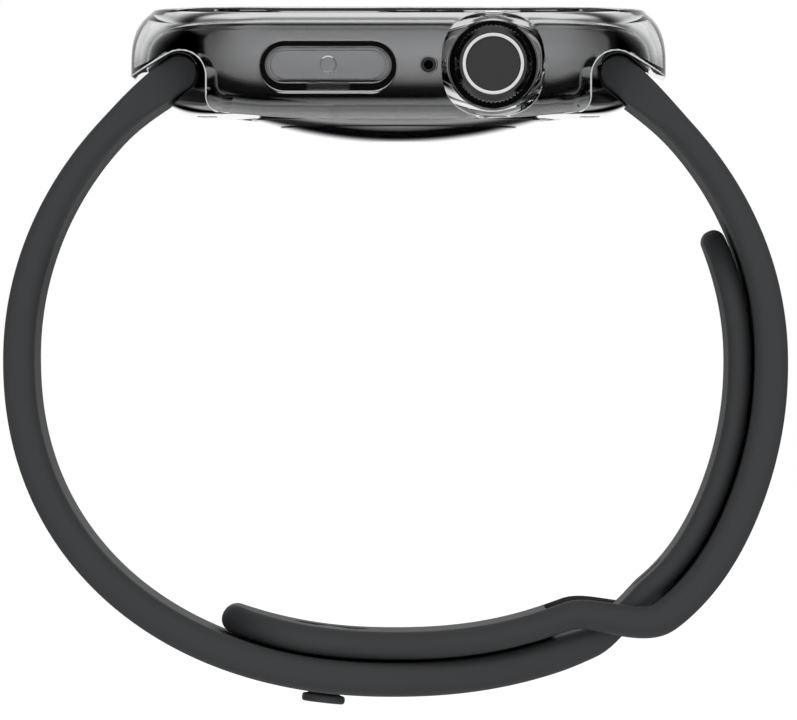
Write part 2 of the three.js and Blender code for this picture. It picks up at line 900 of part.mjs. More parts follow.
function caseSkin() {
  const rings = [];
  const lowerSteps = 5;
  for (let step = 0; step <= lowerSteps; step += 1) {
    const angle = Math.PI / 2 * (1 - step / lowerSteps);
    rings.push(casePlan(
      caseTurn * (1 - Math.cos(angle)), caseWaist - (caseWaist - caseBottom) * Math.sin(angle),
    ));
  }
  const upperSteps = 5;
  rings.push(...bodyRings(0, lipAngle, upperSteps, caseGrow));
  const lipInset = (shoulder + caseGrow) * (1 - Math.pow(Math.cos(lipAngle), 2 / upperPower));
  for (const turn of [Math.PI / 4, Math.PI / 2]) {
    rings.push(casePlan(
      lipInset + lipRound * (1 - Math.cos(turn)),
      lipShoulderHeight + (caseTop - lipShoulderHeight) * Math.sin(turn),
    ));
  }
  return loft(rings);
}

function flapPocket(near, far) {
  return prism(pill(buttonX, grooveZ, grooveLength, grooveHeight), near, far);
}

// Everything outside and below a line over the lug: a round arch with a sloping outer flank
function archOutline() {
  const far = bodyLength / 2 + caseWall + overrun;
  const points = [];
  const steps = 12;
  const from = Math.PI / 2 - archSlope;
  for (let step = 0; step <= steps; step += 1) {
    const angle = from + (Math.PI - from) * step / steps;
    points.push([archX + archRadius * Math.cos(angle), archZ + archRadius * Math.sin(angle)]);
  }
  const shoulderX = points[0][0];
  const shoulderZ = points[0][1];
  const kneeSteps = 5;
  const innerX = archX - archRadius;
  for (let step = 0; step <= kneeSteps; step += 1) {
    const angle = Math.PI / 2 * step / kneeSteps;
    points.push([
      archFootX + (innerX - archFootX) * Math.cos(angle),
      archKneeZ - (archKneeZ - archFootZ) * Math.sin(angle),
    ]);
  }
  points.push([archFootX, -overrun]);
  points.push([far, -overrun]);
  points.push([far, shoulderZ - (far - shoulderX) * Math.tan(archSlope)]);
  return points;
}

// Below a shallow curve that lifts the bottom edge toward the lugs
function trimOutline() {
  const far = bodyLength / 2 + overrun;
  const steps = 12;
  const points = [[far, -overrun], [-far, -overrun]].reverse();
  for (let step = 0; step <= steps; step += 1) {
    const x = far - 2 * far * step / steps;
    points.push([x, caseBottom - seatGap + (trimRise + seatGap) * (x / archFootX) ** 2]);
  }
  return points;
}

function crownCutter() {
  const inner = bodySide + caseGap;
  const outer = inner + caseWall;
  const slope = crownCutBevel / caseWall;
  return towardCrown(turned([
    [0, inner - overrun],
    [crownCutRadius, inner - overrun],
    [crownCutRadius, inner],
    [crownCutRadius + slope * (outer + overrun - inner), outer + overrun],
    [0, outer + overrun],
  ], 32), crownX, crownZ);
}

function clearCase() {
  const half = bodyWidth / 2 + caseWall + overrun;
  const hollow = loft(
    bodyRings(-Math.PI / 2, 0, 6, caseGap).concat(bodyRings(0, Math.PI / 2, 6, caseGap).slice(1)),
  );
  const arch = archOutline();
  return cut(
    caseSkin(),
    hollow,
    bodyInsetBlock(topLipInset, waistHeight, caseTop + overrun),
    bodyInsetBlock(bottomLipInset, -overrun, waistHeight),
    prism(arch, -half, half),
    prism(mirrored(arch), -half, half),
    prism(trimOutline(), -half, half),
    crownCutter(),
    flapPocket(-half, 0),
    towardCrown(bar(micCaseHoleRadius, 0, half, 24), micX, micZ),
    prism(pill(0, speakerZ, speakerCaseLength, speakerCaseHeight), 0, half),
  );
}

// The flap is cut out of the same outer form, thinner than the wall, with a round pusher behind
function caseButtonFlap() {
  const outer = bodySide + caseGap + caseWall;
  const inner = outer - flapThickness;
  const half = outer + overrun;
  const flapSlab = prism(pill(buttonX, flapZ, flapLength, flapHeight), -half, -inner);
  const bridgeLow = grooveZ - grooveHeight / 2 + bridgeGap;
  const bridge = prism([
    [buttonX - bridgeWidth / 2, bridgeLow],
    [buttonX + bridgeWidth / 2, bridgeLow],
    [buttonX + bridgeWidth / 2, flapZ],
    [buttonX - bridgeWidth / 2, flapZ],
  ], -half, -inner);
  const pusher = towardCrown(
    bar(pusherRadius, buttonFace + slideGap, inner + seatGap, 24), buttonX, buttonZ,
  );
  return join(caseSkin().intersect(join(flapSlab, bridge)), pusher);
}

function releaseButton(side) {
  const low = backHeight + releaseSink;
  return releasePocketBlock(side, 0, low, low + releaseThickness);
}

// Strap: the middle line of each half is the loop's oval, moved inward where the half is tucked
function smooth(share) {
  const held = Math.min(Math.max(share, 0), 1);
  return held * held * (3 - 2 * held);
}

function loopRadius(angle) {
  const upper = Math.sin(angle) > 0;
  const height = upper ? loopUpperHeight : loopLowerHeight;
  const power = upper ? loopUpperPower : loopLowerPower;
  const across = Math.pow(Math.abs(Math.cos(angle)) / loopHalfWidth, power);
  const along = Math.pow(Math.abs(Math.sin(angle)) / height, power);
  return Math.pow(across + along, -1 / power);
}

// How far the halves bow outward where one passes through the other
function crossingBulge(angle) {
  const width = angle > bulgeAngle ? bulgeAbove : bulgeBelow;
  return bulge * Math.exp(-(((angle - bulgeAngle) / width) ** 2));
}

const slotWidth = strapWidth - 2 * railWidth;
const tailWidth = slotWidth - 2 * softGap;
const tuckedPinDepth = (bottomThickness + tuckedPinThickness) / 2 + layGap;
const tuckedTailDepth = (pinThickness + tailThickness) / 2 + layGap;

// Each half names its own line, thickness and width. Angles go round the loop from +X toward +Z;
// the tail half runs through 180 degrees, so its angles past that are brought back below zero.
const pinHalf = {
  side: 1,
  from: Math.atan2(lugZ - loopZ, lugX - loopX),
  to: pinTipAngle,
  depth: (angle) => (
    tuckedPinDepth * smooth((angle - pinCrossStart) / (pinCrossEnd - pinCrossStart))
  ),
  endThickness: (angle) => (
    pinThickness + (tuckedPinThickness - pinThickness)
      * smooth((angle - slotStart) / (slotEnd - slotStart))
  ),
  width: (angle) => (
    strapWidth - pinTipNarrowing * smooth((angle - slotEnd) / (studAngle - slotEnd))
  ),
  tipRound: pinTipRound,
};

const tailHalf = {
  side: -1,
  from: Math.atan2(lugZ - loopZ, -lugX - loopX) - 2 * Math.PI,
  to: tailTipAngle,
  depth: (angle) => (
    tuckedTailDepth * smooth((angle - tailCrossStart) / (tailCrossEnd - tailCrossStart))
  ),
  endThickness: (angle) => (
    bottomThickness + (tailThickness - bottomThickness)
      * smooth((angle - tailThinStart) / (tailThinEnd - tailThinStart))
  ),
  width: (angle) => (
    strapWidth + (tailWidth - strapWidth) * smooth((angle - studAngle) / (slotEnd - studAngle))
  ),
  tipRound: tailTipRound,
};

function linePoint(half, angle) {
  const depth = half.depth(angle) - crossingBulge(angle);
  const radius = loopRadius(angle) - depth;
  return new THREE.Vector2(loopX + radius * Math.cos(angle), loopZ + radius * Math.sin(angle));
}

function strapPoint(half, angle) {
  const point = linePoint(half, angle);
  const nose = new THREE.Vector2(half.side * lugX, lugZ);
  const shift = nose.sub(linePoint(half, half.from));
  const fade = 1 - Math.min(Math.abs(angle - half.from) / noseBlend, 1);
  return point.add(shift.multiplyScalar(fade * fade));
}

function strapAlong(half, angle) {
  const little = THREE.MathUtils.degToRad(0.2) * Math.sign(half.to - half.from);
  const ahead = strapPoint(half, angle + little);
  return ahead.sub(strapPoint(half, angle - little)).normalize();
}

// Points outward from the loop at an angle of the half
function strapOut(half, angle) {
  const along = strapAlong(half, angle);
  const turn = half.side;
  return new THREE.Vector2(-along.y * turn, along.x * turn);
}

// Thickness from the lug on: full at the lug, waisted behind it, then the half's own thickness
function strapThickness(half, angle, distance) {
  const root = 2 * lugRadius + (neckThickness - 2 * lugRadius) * smooth(distance / neckReach);
  const side = half.side > 0 ? pinThickness : sideThickness;
  const run = root + (side - neckThickness) * smooth((distance - neckReach) / (sideReach - neckReach));
  const late = half.endThickness(angle) - half.endThickness(half.from);
  const settle = half.endThickness(half.from) - side;
  return run + late + settle * smooth((distance - sideReach) / sideReach);
}

// One cross-section: a rectangle with round edges, in the plane of the outward and Y directions
function strapSection(middle, out, thickness, width, edge) {
  const halfThick = thickness / 2;
  const halfWide = width / 2;
  const round = Math.min(edge, halfThick * 0.96, halfWide * 0.96);
  const steps = 2;
  const points = [];
  for (let quarter = 0; quarter < 4; quarter += 1) {
    const signOut = quarter === 0 || quarter === 3 ? 1 : -1;
    const signAcross = quarter < 2 ? 1 : -1;
    for (let step = 0; step <= steps; step += 1) {
      const angle = (quarter + step / steps) * Math.PI / 2;
      const high = signOut * (halfThick - round) + round * Math.cos(angle);
      const across = signAcross * (halfWide - round) + round * Math.sin(angle);
      points.push(new THREE.Vector3(middle.x + out.x * high, across, middle.y + out.y * high));
    }
  }
  return points;
}

// Stations of a half: the round of the lug, the run and the round of the tip
function strapStations(half) {
  const stations = [];
  const start = strapPoint(half, half.from);
  const back = strapAlong(half, half.from).negate();
  const startOut = strapOut(half, half.from);
  const noseSteps = 6;
  for (let step = 0; step < noseSteps; step += 1) {
    const turn = THREE.MathUtils.degToRad(8) + (Math.PI / 2 - THREE.MathUtils.degToRad(8))
      * step / noseSteps;
    const reach = lugRadius * Math.cos(turn);
    const middle = start.clone().add(back.clone().multiplyScalar(reach));
    stations.push({ middle, out: startOut, thickness: 2 * lugRadius * Math.sin(turn), distance: 0 });
  }
  const steps = Math.ceil(Math.abs(half.to - half.from) / stationStep);
  let distance = 0;
  let before = start;
  for (let step = 0; step <= steps; step += 1) {
    const angle = half.from + (half.to - half.from) * step / steps;
    const middle = strapPoint(half, angle);
    distance += middle.distanceTo(before);
    before = middle;
    stations.push({
      middle,
      out: strapOut(half, angle),
      thickness: strapThickness(half, angle, distance),
      width: half.width(angle),
      distance,
    });
  }
  return stations;
}

// Shares of the tip round at which its sections lie, from its root to its end
const tipShares = [0.3, 0.55, 0.75, 0.88, 0.96, 0.995];

function strapSolid(half) {
  const stations = strapStations(half);
  const total = stations.at(-1).distance;
  const nearTip = total - half.tipRound;
  const kept = stations.filter((station) => station.distance < nearTip);
  const rings = kept.map((station) => {
    const edge = lugEndRound + (edgeRound - lugEndRound)
      * smooth((station.distance - lugRadius) / neckReach);
    return strapSection(
      station.middle, station.out, station.thickness, station.width ?? strapWidth, edge,
    );
  });
  const anglePerLength = (half.to - half.from) / total;
  for (const share of tipShares) {
    const place = nearTip + half.tipRound * share;
    const angle = half.to - (total - place) * anglePerLength;
    const width = half.width(angle);
    const inset = half.tipRound * (1 - Math.sqrt(1 - share ** 2));
    const fullThickness = strapThickness(half, angle, place);
    const left = (half.tipRound * (1 - share)) / (fullThickness / 2);
    const close = left < 1 ? Math.sqrt(1 - (1 - left) ** 2) : 1;
    rings.push(strapSection(
      strapPoint(half, angle), strapOut(half, angle),
      fullThickness * close, width - 2 * inset, edgeRound,
    ));
  }
  const faced = half.side < 0 ? rings : rings.map((ring) => ring.slice().reverse());
  return loft(faced);
}

// A bar square to the strap at one angle, from an inner to an outer distance off its middle
function acrossStrap(solid, half, angle) {
  const middle = strapPoint(half, angle);
  const out = strapOut(half, angle);
  const tilt = THREE.MathUtils.radToDeg(Math.atan2(out.x, out.y));
  return solid.rotate([0, tilt, 0]).translate([middle.x, 0, middle.y]);
}

// The slot that the tail goes through, following the strap between two angles
function slotCutter() {
  const steps = 8;
  const outline = [];
  for (const side of [1, -1]) {
    for (let step = 0; step <= steps; step += 1) {
      const share = side > 0 ? step / steps : 1 - step / steps;
      const angle = slotStart + (slotEnd - slotStart) * share;
      const out = strapOut(pinHalf, angle).multiplyScalar(slotCutDepth * side);
      const point = strapPoint(pinHalf, angle).add(out);
      outline.push([point.x, point.y]);
    }
  }
  return prism(outline, -slotWidth / 2, slotWidth / 2);
}

// Pocket in the lug nose, open at its front, for the catch and the core behind it
function nosePocket(side, front, back, halfHeight, halfLength) {
  const half = side > 0 ? pinHalf : tailHalf;
  const nose = strapPoint(half, half.from);
  const along = strapAlong(half, half.from);
  const out = strapOut(half, half.from);
  const corners = [[front, -1], [back, -1], [back, 1], [front, 1]].map(([reach, up]) => {
    const point = nose.clone();
    point.add(along.clone().multiplyScalar(reach));
    point.add(out.clone().multiplyScalar(halfHeight * up));
    return [point.x, point.y];
  });
  return prism(corners, -halfLength, halfLength);
}

const catchFront = -Math.sqrt(lugRadius ** 2 - (catchHeight / 2) ** 2);
const coreFront = catchFront + catchDepth + softGap;
const coreBack = coreFront + coreDepth;

function lugPocket(side) {
  return nosePocket(
    side, -lugRadius * 2, coreBack + softGap, catchHeight / 2 + softGap, catchWidth / 2 + softGap,
  );
}

function lugCatch(side) {
  return nosePocket(side, catchFront, catchFront + catchDepth, catchHeight / 2, catchWidth / 2);
}

function lugCore(side) {
  return nosePocket(side, coreFront, coreBack, catchHeight / 2, catchWidth / 2);
}

const holeRadius = studNeckRadius + softGap;
const pinInnerFace = -tuckedPinThickness / 2;
const baseLow = pinInnerFace + seatGap;
const baseHigh = baseLow + studBaseThickness;

function strapPinHalf() {
  const through = acrossStrap(bar(holeRadius, -overrun, overrun, 14), pinHalf, studAngle);
  const recess = acrossStrap(
    bar(studBaseRadius + softGap, -overrun, baseHigh + softGap, 24), pinHalf, studAngle,
  );
  return cut(strapSolid(pinHalf), slotCutter(), lugPocket(1), through, recess);
}

function strapTailHalf() {
  const stepAngle = holePitch / loopRadius(studAngle);
  const holes = [];
  for (let index = -holesBefore; index <= holesAfter; index += 1) {
    const angle = studAngle + stepAngle * index;
    holes.push(index === 0
      ? acrossStrap(bar(holeRadius, 0, tuckedPinDepth + overrun, 14), pinHalf, studAngle)
      : acrossStrap(bar(holeRadius, -overrun, overrun, 14), tailHalf, angle));
  }
  return cut(strapSolid(tailHalf), lugPocket(-1), ...holes);
}

// The stud stands on the pin half, so its heights are taken from that half's middle line
function claspStud() {
  const outerFace = tuckedPinDepth + bottomThickness / 2;
  const headLow = outerFace + softGap;
  const headHigh = outerFace + studHeadRise;
  const stud = turned([
    [0, baseHigh + softGap],
    [studNeckRadius, baseHigh + softGap],
    [studNeckRadius, headLow],
    [studHeadRadius - studHeadRound, headLow],
    [studHeadRadius, headLow + studHeadRound],
    [studHeadRadius, headHigh - studHeadRound],
    [studHeadRadius - studHeadRound, headHigh],
    [0, headHigh],
  ], 24);
  return acrossStrap(stud, pinHalf, studAngle);
}

function claspStudBase() {
  return acrossStrap(bar(studBaseRadius, baseLow, baseHigh, 24), pinHalf, studAngle);
}

const watch = new THREE.Group();

function place(name, solid, material) {
  const mesh = new THREE.Mesh(toGeometry(solid), material);
  mesh.name = name;
  watch.add(mesh);
}

place('watch_housing', watchHousing(), graphite());
place('front_crystal', frontCrystal(), blackGlass());
place('crystal_gasket', crystalGasket(), sealRubber());
place('display_panel', displayPanel(), blackGlass());
place('back_cover', backCover(), ceramic());
place('back_gasket', backGasket(), sealRubber());
place('sensor_crystal', sensorCrystal(), darkCrystal());
place('charging_coil', chargingCoil(), copper());
place('sensor_board', sensorBoard(), boardGreen());
place('battery_cell', batteryCell(), foil());
place('haptic_motor', hapticMotor(), steel());
place('main_board', mainBoard(), boardGreen());
place('processor_module', processorModule(), plastic());
screwPlaces.forEach((spot, index) => {
  place(`board_screw_${index + 1}`, boardScrew(spot), steel());
});
place('speaker_module', speakerModule(), plastic());
place('microphone_capsule', microphoneCapsule(), silver());
place('side_button', sideButton(), graphite());
place('side_button_clip', sideButtonClip(), steel());
place('side_button_switch', sideButtonSwitch(), plastic());
place('crown_knob', crownKnob(), graphite());
place('crown_ring', crownRing(), silver());
place('crown_cap', crownCap(), graphite());
place('crown_shaft', crownShaft(), steel());
place('crown_collar', crownCollar(), plastic());
place('crown_bushing', crownBushing(), steel());
place('crown_seal', crownSeal(), sealRubber());
place('crown_switch', crownSwitch(), plastic());
place('crown_encoder', crownEncoder(), plastic());
place('clear_case', clearCase(), clearPlastic());
place('case_button_flap', caseButtonFlap(), clearPlastic());
place('release_button_12', releaseButton(1), graphite());
place('release_button_6', releaseButton(-1), graphite());
place('strap_pin_half', strapPinHalf(), rubber());
place('strap_tail_half', strapTailHalf(), rubber());
place('lug_catch_12', lugCatch(1), steel());
place('lug_catch_6', lugCatch(-1), steel());
place('lug_core_12', lugCore(1), steel());
place('lug_core_6', lugCore(-1), steel());
place('clasp_stud', claspStud(), rubber());
place('clasp_stud_base', claspStudBase(), steel());

export default watch;
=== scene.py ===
# A wrist watch in a clear case on a dark rubber strap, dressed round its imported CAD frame.
# Shapes are worked out in millimetres, in the frame's own axes: +Z up through the screen,
# +X toward the 12 o'clock lug and -Y toward the crown. MM turns them into metres.

import json
import math

import bmesh
import bpy
import numpy as np
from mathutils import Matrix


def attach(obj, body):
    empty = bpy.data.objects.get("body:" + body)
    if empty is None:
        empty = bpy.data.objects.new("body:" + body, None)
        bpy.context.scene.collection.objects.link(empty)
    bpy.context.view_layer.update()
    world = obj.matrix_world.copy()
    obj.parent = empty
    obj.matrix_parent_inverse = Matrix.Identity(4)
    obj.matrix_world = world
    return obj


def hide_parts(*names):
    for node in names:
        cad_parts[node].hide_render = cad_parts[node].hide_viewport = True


MM = 0.001
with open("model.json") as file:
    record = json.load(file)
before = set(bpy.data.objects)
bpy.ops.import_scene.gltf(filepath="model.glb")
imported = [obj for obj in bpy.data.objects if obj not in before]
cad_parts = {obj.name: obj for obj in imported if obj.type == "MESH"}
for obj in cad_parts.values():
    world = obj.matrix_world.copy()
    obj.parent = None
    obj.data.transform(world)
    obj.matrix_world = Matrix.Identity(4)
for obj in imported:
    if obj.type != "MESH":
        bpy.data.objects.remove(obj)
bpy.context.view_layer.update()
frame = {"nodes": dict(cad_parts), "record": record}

# Camera, in metres and its lens in millimetres: level with the middle of the strap loop and far
# off, as with a long lens
CAMERA_DISTANCE = 1.212
CAMERA_HEIGHT = -0.0197
LENS = 605
SENSOR = 36

# Floor, and a light card inside the loop, in metres
FLOOR_HEIGHT = -0.085
FLOOR_HALF_SIZE = 3.0
FLOOR_GLOW = 0.16
FLOOR_THROUGH_CLEAR = 0.95
CARD_HEIGHT = -0.012
CARD_HALF_LENGTH = 0.0235
CARD_FRONT = -0.0173
CARD_REAR = 0.011
CARD_FADE = 0.006
CARD_LEVELS = (0.3, 0.85)

# Fits shared with the frame's parts
OVERRUN = 3
SEAT_GAP = 0.08
SLIDE_GAP = 0.15
SOFT_GAP = 0.3

# Watch body
BODY_LENGTH = 45
BODY_WIDTH = 38
BODY_CORNER = 11.5
BACK_HEIGHT = 2.3
WAIST_HEIGHT = 6.3
GLASS_HEIGHT = 10.8
SHOULDER = 5
LOWER_POWER = 2
UPPER_POWER = 3
RIM_ANGLE = math.radians(48.2)
SIDE_WALL = 3
END_WALL = 6.1
CAVITY_FLOOR = BACK_HEIGHT + 0.9
GLASS_SEAT_INSET = 1.75
DISPLAY_INSET = 3
LEDGE_STEP = 0.7
PLUG_GAP = 0.1
PLUG_RISE = 0.26
GLASS_FLAT_INSET = 1.5
HOLE_END = 10

# Lugs and their channels
LUG_X = BODY_LENGTH / 2 - 2.8
LUG_Z = 5.97
LUG_RADIUS = 1.65
LUG_ANGLE = math.radians(38.5)
LUG_MOUTH = 9
LUG_MOUTH_ROUND = 0.12

# Clear case
CASE_WALL = 1.36
CASE_GAP = 0.18
CASE_WAIST = WAIST_HEIGHT - 0.8
CASE_GROW = CASE_WALL + CASE_GAP
CASE_TURN = 3.6
CASE_BOTTOM = 1.74
CASE_TOP = GLASS_HEIGHT + 1.0
LIP_SHOULDER = CASE_TOP - 0.35
LIP_ROUND = 0.75
TOP_LIP_INSET = 2.6
BOTTOM_LIP_INSET = 3.2
LIP_EDGE = 0.22
CASE_MOUTH_ROUND = 0.14
TRIM_RISE = 0.71
ARCH_X = LUG_X - 0.2
ARCH_Z = LUG_Z - 0.32
ARCH_RADIUS = 2.27
ARCH_SLOPE = math.radians(29.4)
ARCH_FOOT_X = ARCH_X - ARCH_RADIUS - 1.08
ARCH_FOOT_Z = 2.45
ARCH_KNEE_Z = 3.9

# Side button, its groove and its flap
BUTTON_X = -6.27
BUTTON_Z = 6.6
BUTTON_LENGTH = 10.3
BUTTON_HEIGHT = 2.5
BUTTON_PROUD = 0.1
BUTTON_THICKNESS = 1.1
BUTTON_TRAVEL = 0.3
POST_RADIUS = 0.7
POST_END = 14.77
POST_FOOT = 0.5
BUTTON_EDGE = 0.07
BUTTON_MOUTH_ROUND = 0.05
SMALL_HOLE_ROUND = 0.02
FLAP_LENGTH = BUTTON_LENGTH + 0.9
FLAP_HEIGHT = BUTTON_HEIGHT + 0.8
FLAP_Z = BUTTON_Z - 0.03
FLAP_THICKNESS = 0.8
FLAP_EDGE = 0.16
GROOVE_LENGTH = FLAP_LENGTH + 1.03
GROOVE_HEIGHT = FLAP_HEIGHT + 1.19
GROOVE_Z = BUTTON_Z - 0.1
BRIDGE_WIDTH = 3.85
BRIDGE_GAP = 0.1
BRIDGE_EDGE = 0.05
BRIDGE_SINK = 0.03
PUSHER_RADIUS = 0.74
PUSHER_TAPER = 0.08
PUSHER_FLARE = 0.06
PUSHER_FLARE_LENGTH = 0.16
PUSHER_ROOT = 0.3
PUSHER_EDGE = 0.06
FUSE_DEPTH = 0.02
FLAP_STEPS = (24, 16)
# The near black strip in the flap's groove, painted shade: its gap to the walls, its spread past the
# flap and its rise
GROOVE_SHADE_GAP = 0.02
GROOVE_SHADE_RIM = 0.05
GROOVE_SHADE_RISE = 0.16

# Crown
CROWN_X = 8.43
CROWN_Z = 6.65
CROWN_RADIUS = 3.5
CROWN_FLUTES = 56
CROWN_FLUTE_DEPTH = 0.12
CROWN_FACE = BODY_WIDTH / 2 + 2.5
CROWN_BACK = BODY_WIDTH / 2 - 0.45
CROWN_CHAMFER_DEPTH = 0.78
CROWN_BACK_CHAMFER = 0.25
CROWN_EDGE_ROUND = 0.12
CROWN_FACE_LAND = 0.25
FLUTE_END = 0.5
FLUTE_FADE = 0.25
CROWN_RING_RADIUS = 2.75
CROWN_RING_WIDTH = 0.32
CROWN_RING_DEPTH = 0.35
CROWN_RING_LOW = CROWN_FACE - CROWN_RING_DEPTH + 0.02
CROWN_DISC_RADIUS = CROWN_RING_RADIUS - CROWN_RING_WIDTH - 0.02
CROWN_POCKET_RADIUS = CROWN_RING_RADIUS + 0.03
DISC_RIM = 0.06
DISC_RIM_DROP = 0.09
DISC_CROWNING = 0.03
INLAY_EDGE = 0.05
CROWN_BORE = 0.93
CROWN_BORE_END = 19.73
WELL_RADIUS = 3.95
WELL_DEPTH = 0.95
WELL_ROUND = 0.1
CROWN_CUT_RADIUS = WELL_RADIUS + 0.15
CROWN_CUT_BEVEL = 0.5
CROWN_CUT_CORNER = 0.35
CROWN_CUT_ROUND = 0.08
BUSHING_HOLE = 2.23
BUSHING_HOLE_END = 13
# A near black ring in the crown's well, painted shade: its radii and depths
WELL_SHADE_RADII = (BUSHING_HOLE + 0.05, WELL_RADIUS - 0.03)
WELL_SHADE_DEPTHS = (BODY_WIDTH / 2 - WELL_DEPTH + 0.01, BODY_WIDTH / 2 - WELL_DEPTH + 0.11)
DARK_RING_EDGE = 0.03

# Microphone and speaker
MIC_X = 2.67
MIC_Z = 6.6
MIC_RADIUS = 0.45
MIC_ROUND = 0.26
MIC_CASE_RADIUS = 0.76
MIC_CASE_ROUND = 0.12
MESH_RADIUS = MIC_RADIUS - 0.02
MESH_TOP = BODY_WIDTH / 2 - 0.5
MESH_RISE = 0.05
MESH_THICKNESS = 0.1
COLLAR_RADII = (MIC_RADIUS - 0.03, MIC_CASE_RADIUS - 0.06)
COLLAR_DEPTHS = (BODY_WIDTH / 2 - 0.05, BODY_WIDTH / 2 + 0.03)
SPEAKER_Z = 6.3
SPEAKER_SLOT_LENGTH = 6
SPEAKER_SLOT_HEIGHT = 1.1
SPEAKER_SLOT_X = 3.9
SPEAKER_ROUND = 0.12
SPEAKER_CASE_LENGTH = 15.6
SPEAKER_CASE_HEIGHT = 2.4
SPEAKER_CASE_ROUND = 0.2

# Back
DOME_RADIUS = 10.65
DOME_SPHERE = 42.6
DOME_FLAT = 3
DOME_TOP = BACK_HEIGHT - 0.4
DOME_GAP = 0.1
RING_TOP = BACK_HEIGHT - 0.2
RING_EDGE = 0.15
RING_BOTTOM = 1.39
RING_SEAT = 0.6
RING_ROUND = 0.06
SPIGOT_RADIUS = 11.45
SPIGOT_TOP = CAVITY_FLOOR - 0.1
BACK_HOLE = SPIGOT_RADIUS + SLIDE_GAP
BACK_HOLE_TOP = 9
RING_RADIUS = BACK_HOLE + 1.3
RELEASE_X = LUG_X - 2.4
RELEASE_LENGTH = 4.4
RELEASE_WIDTH = 1.5
RELEASE_THICKNESS = 1
RELEASE_POCKET = 1.5
RELEASE_SINK = 0.05
RELEASE_EDGE = 0.12

# Strap loop
LOOP_X = -0.3
LOOP_Z = -19.5
LOOP_HALF_WIDTH = BODY_LENGTH / 2 + 11.25
LOOP_UPPER = 31.2
LOOP_LOWER = 28.9
LOOP_UPPER_POWER = 2
LOOP_LOWER_POWER = 2.18
NOSE_BLEND = math.radians(14)
BULGE = 1.5
BULGE_ANGLE = math.radians(-43)
BULGE_ABOVE = math.radians(19)
BULGE_BELOW = math.radians(8)
PIN_CROSS = (math.radians(-44), math.radians(-56))
TAIL_CROSS = (math.radians(-56), math.radians(-42))
TAIL_THIN = (math.radians(-62), math.radians(-45))
PIN_TIP = math.radians(-124)
TAIL_TIP = math.radians(22)
STRAP_WIDTH = 24
RAIL_WIDTH = 1.7
SLOT_WIDTH = STRAP_WIDTH - 2 * RAIL_WIDTH
TAIL_WIDTH = SLOT_WIDTH - 2 * SOFT_GAP
PIN_TIP_NARROWING = 1
LUG_END_ROUND = 0.3
# Near black strips in the gaps round the lugs' noses, painted shade
LUG_SHADE_REACH = math.radians(84)
LUG_SHADE_FILL = 0.8
LUG_SHADE_SINK = 0.03
LUG_SHADE_LENGTH = 2.4
LUG_SHADE_PLACE = 9.6
EDGE_ROUND = 1.15
NECK_THICKNESS = 2.5
NECK_REACH = 8
SIDE_THICKNESS = 2.85
SIDE_REACH = 34
BOTTOM_THICKNESS = 3.05
PIN_THICKNESS = 3
TUCKED_PIN_THICKNESS = 2.5
TAIL_THICKNESS = 2.05
TAIL_TIP_ROUND = 8
PIN_TIP_ROUND = 8.5
TIP_END = math.radians(86.5)
NOSE_START = math.radians(6)
LAY_GAP = 0.3
SLOT = (math.radians(-42.5), math.radians(-59.5))
SLOT_CUT_DEPTH = 2.4
SLOT_EDGE = 0.35
SLOT_CORNER = 0.9
STUD_ANGLE = math.radians(-103)
HOLE_PITCH = 6.35
HOLES_BEFORE = 1
HOLES_AFTER = 5
STUD_NECK = 1.35
STUD_HEAD = 1.95
STUD_RISE = 1.1
STUD_BASE = 2.9
STUD_BASE_THICKNESS = 0.6
HOLE_RADIUS = STUD_NECK + SOFT_GAP
HOLE_EDGE = 0.25
STUD_HOLE_EDGE = 0.15
STUD_EDGE = 0.3
BASE_EDGE = 0.15
CATCH_WIDTH = 15
CATCH_HEIGHT = 1.1
CATCH_DEPTH = 0.75
CORE_DEPTH = 1.5

TUCKED_PIN_DEPTH = (BOTTOM_THICKNESS + TUCKED_PIN_THICKNESS) / 2 + LAY_GAP
TUCKED_TAIL_DEPTH = (PIN_THICKNESS + TAIL_THICKNESS) / 2 + LAY_GAP

# Smoothness: the angle in radians past which a crease stays sharp, and the clasp's own
CREASE = math.radians(32)
CLASP_CREASE = 0.9

# The smallest ring round an axis, and how far a section's two ends stay apart
POLE = 0.01


def object_from(name, points, faces):
    """An object from points in millimetres and faces, with its faces turned outward."""
    mesh = bpy.data.meshes.new(name)
    mesh.from_pydata((points * MM).tolist(), [], faces)
    shell = bmesh.new()
    shell.from_mesh(mesh)
    bmesh.ops.recalc_face_normals(shell, faces=shell.faces)
    shell.to_mesh(mesh)
    shell.free()
    thing = bpy.data.objects.new(name, mesh)
    bpy.context.collection.objects.link(thing)
    return thing


def grid_faces(rows, columns, closed_rows=False):
    """Faces of a grid whose columns close on themselves. Its rows close too, or end in caps."""
    row = np.arange(rows if closed_rows else rows - 1)[:, None]
    column = np.arange(columns)[None, :]
    following = (column + 1) % columns
    above = (row + 1) % rows
    quads = np.stack([
        row * columns + column,
        row * columns + following,
        above * columns + following,
        above * columns + column,
    ], axis=-1).reshape(-1, 4).tolist()
    if closed_rows:
        return quads
    first = list(range(columns))[::-1]
    last = list(range((rows - 1) * columns, rows * columns))
    return quads + [first, last]


def loft(name, rings, closed_rows=False):
    """A closed skin through rings of equally many points, given as rows x columns x 3."""
    rows, columns = rings.shape[:2]
    faces = grid_faces(rows, columns, closed_rows)
    return object_from(name, rings.reshape(-1, 3), faces)


def smoothed(thing, crease=CREASE):
    """Shades an object smooth, apart from edges sharper than the crease."""
    mesh = thing.data
    mesh.polygons.foreach_set("use_smooth", np.ones(len(mesh.polygons), dtype=bool))
    mesh.set_sharp_from_angle(angle=crease)
    mesh.update()
    return thing


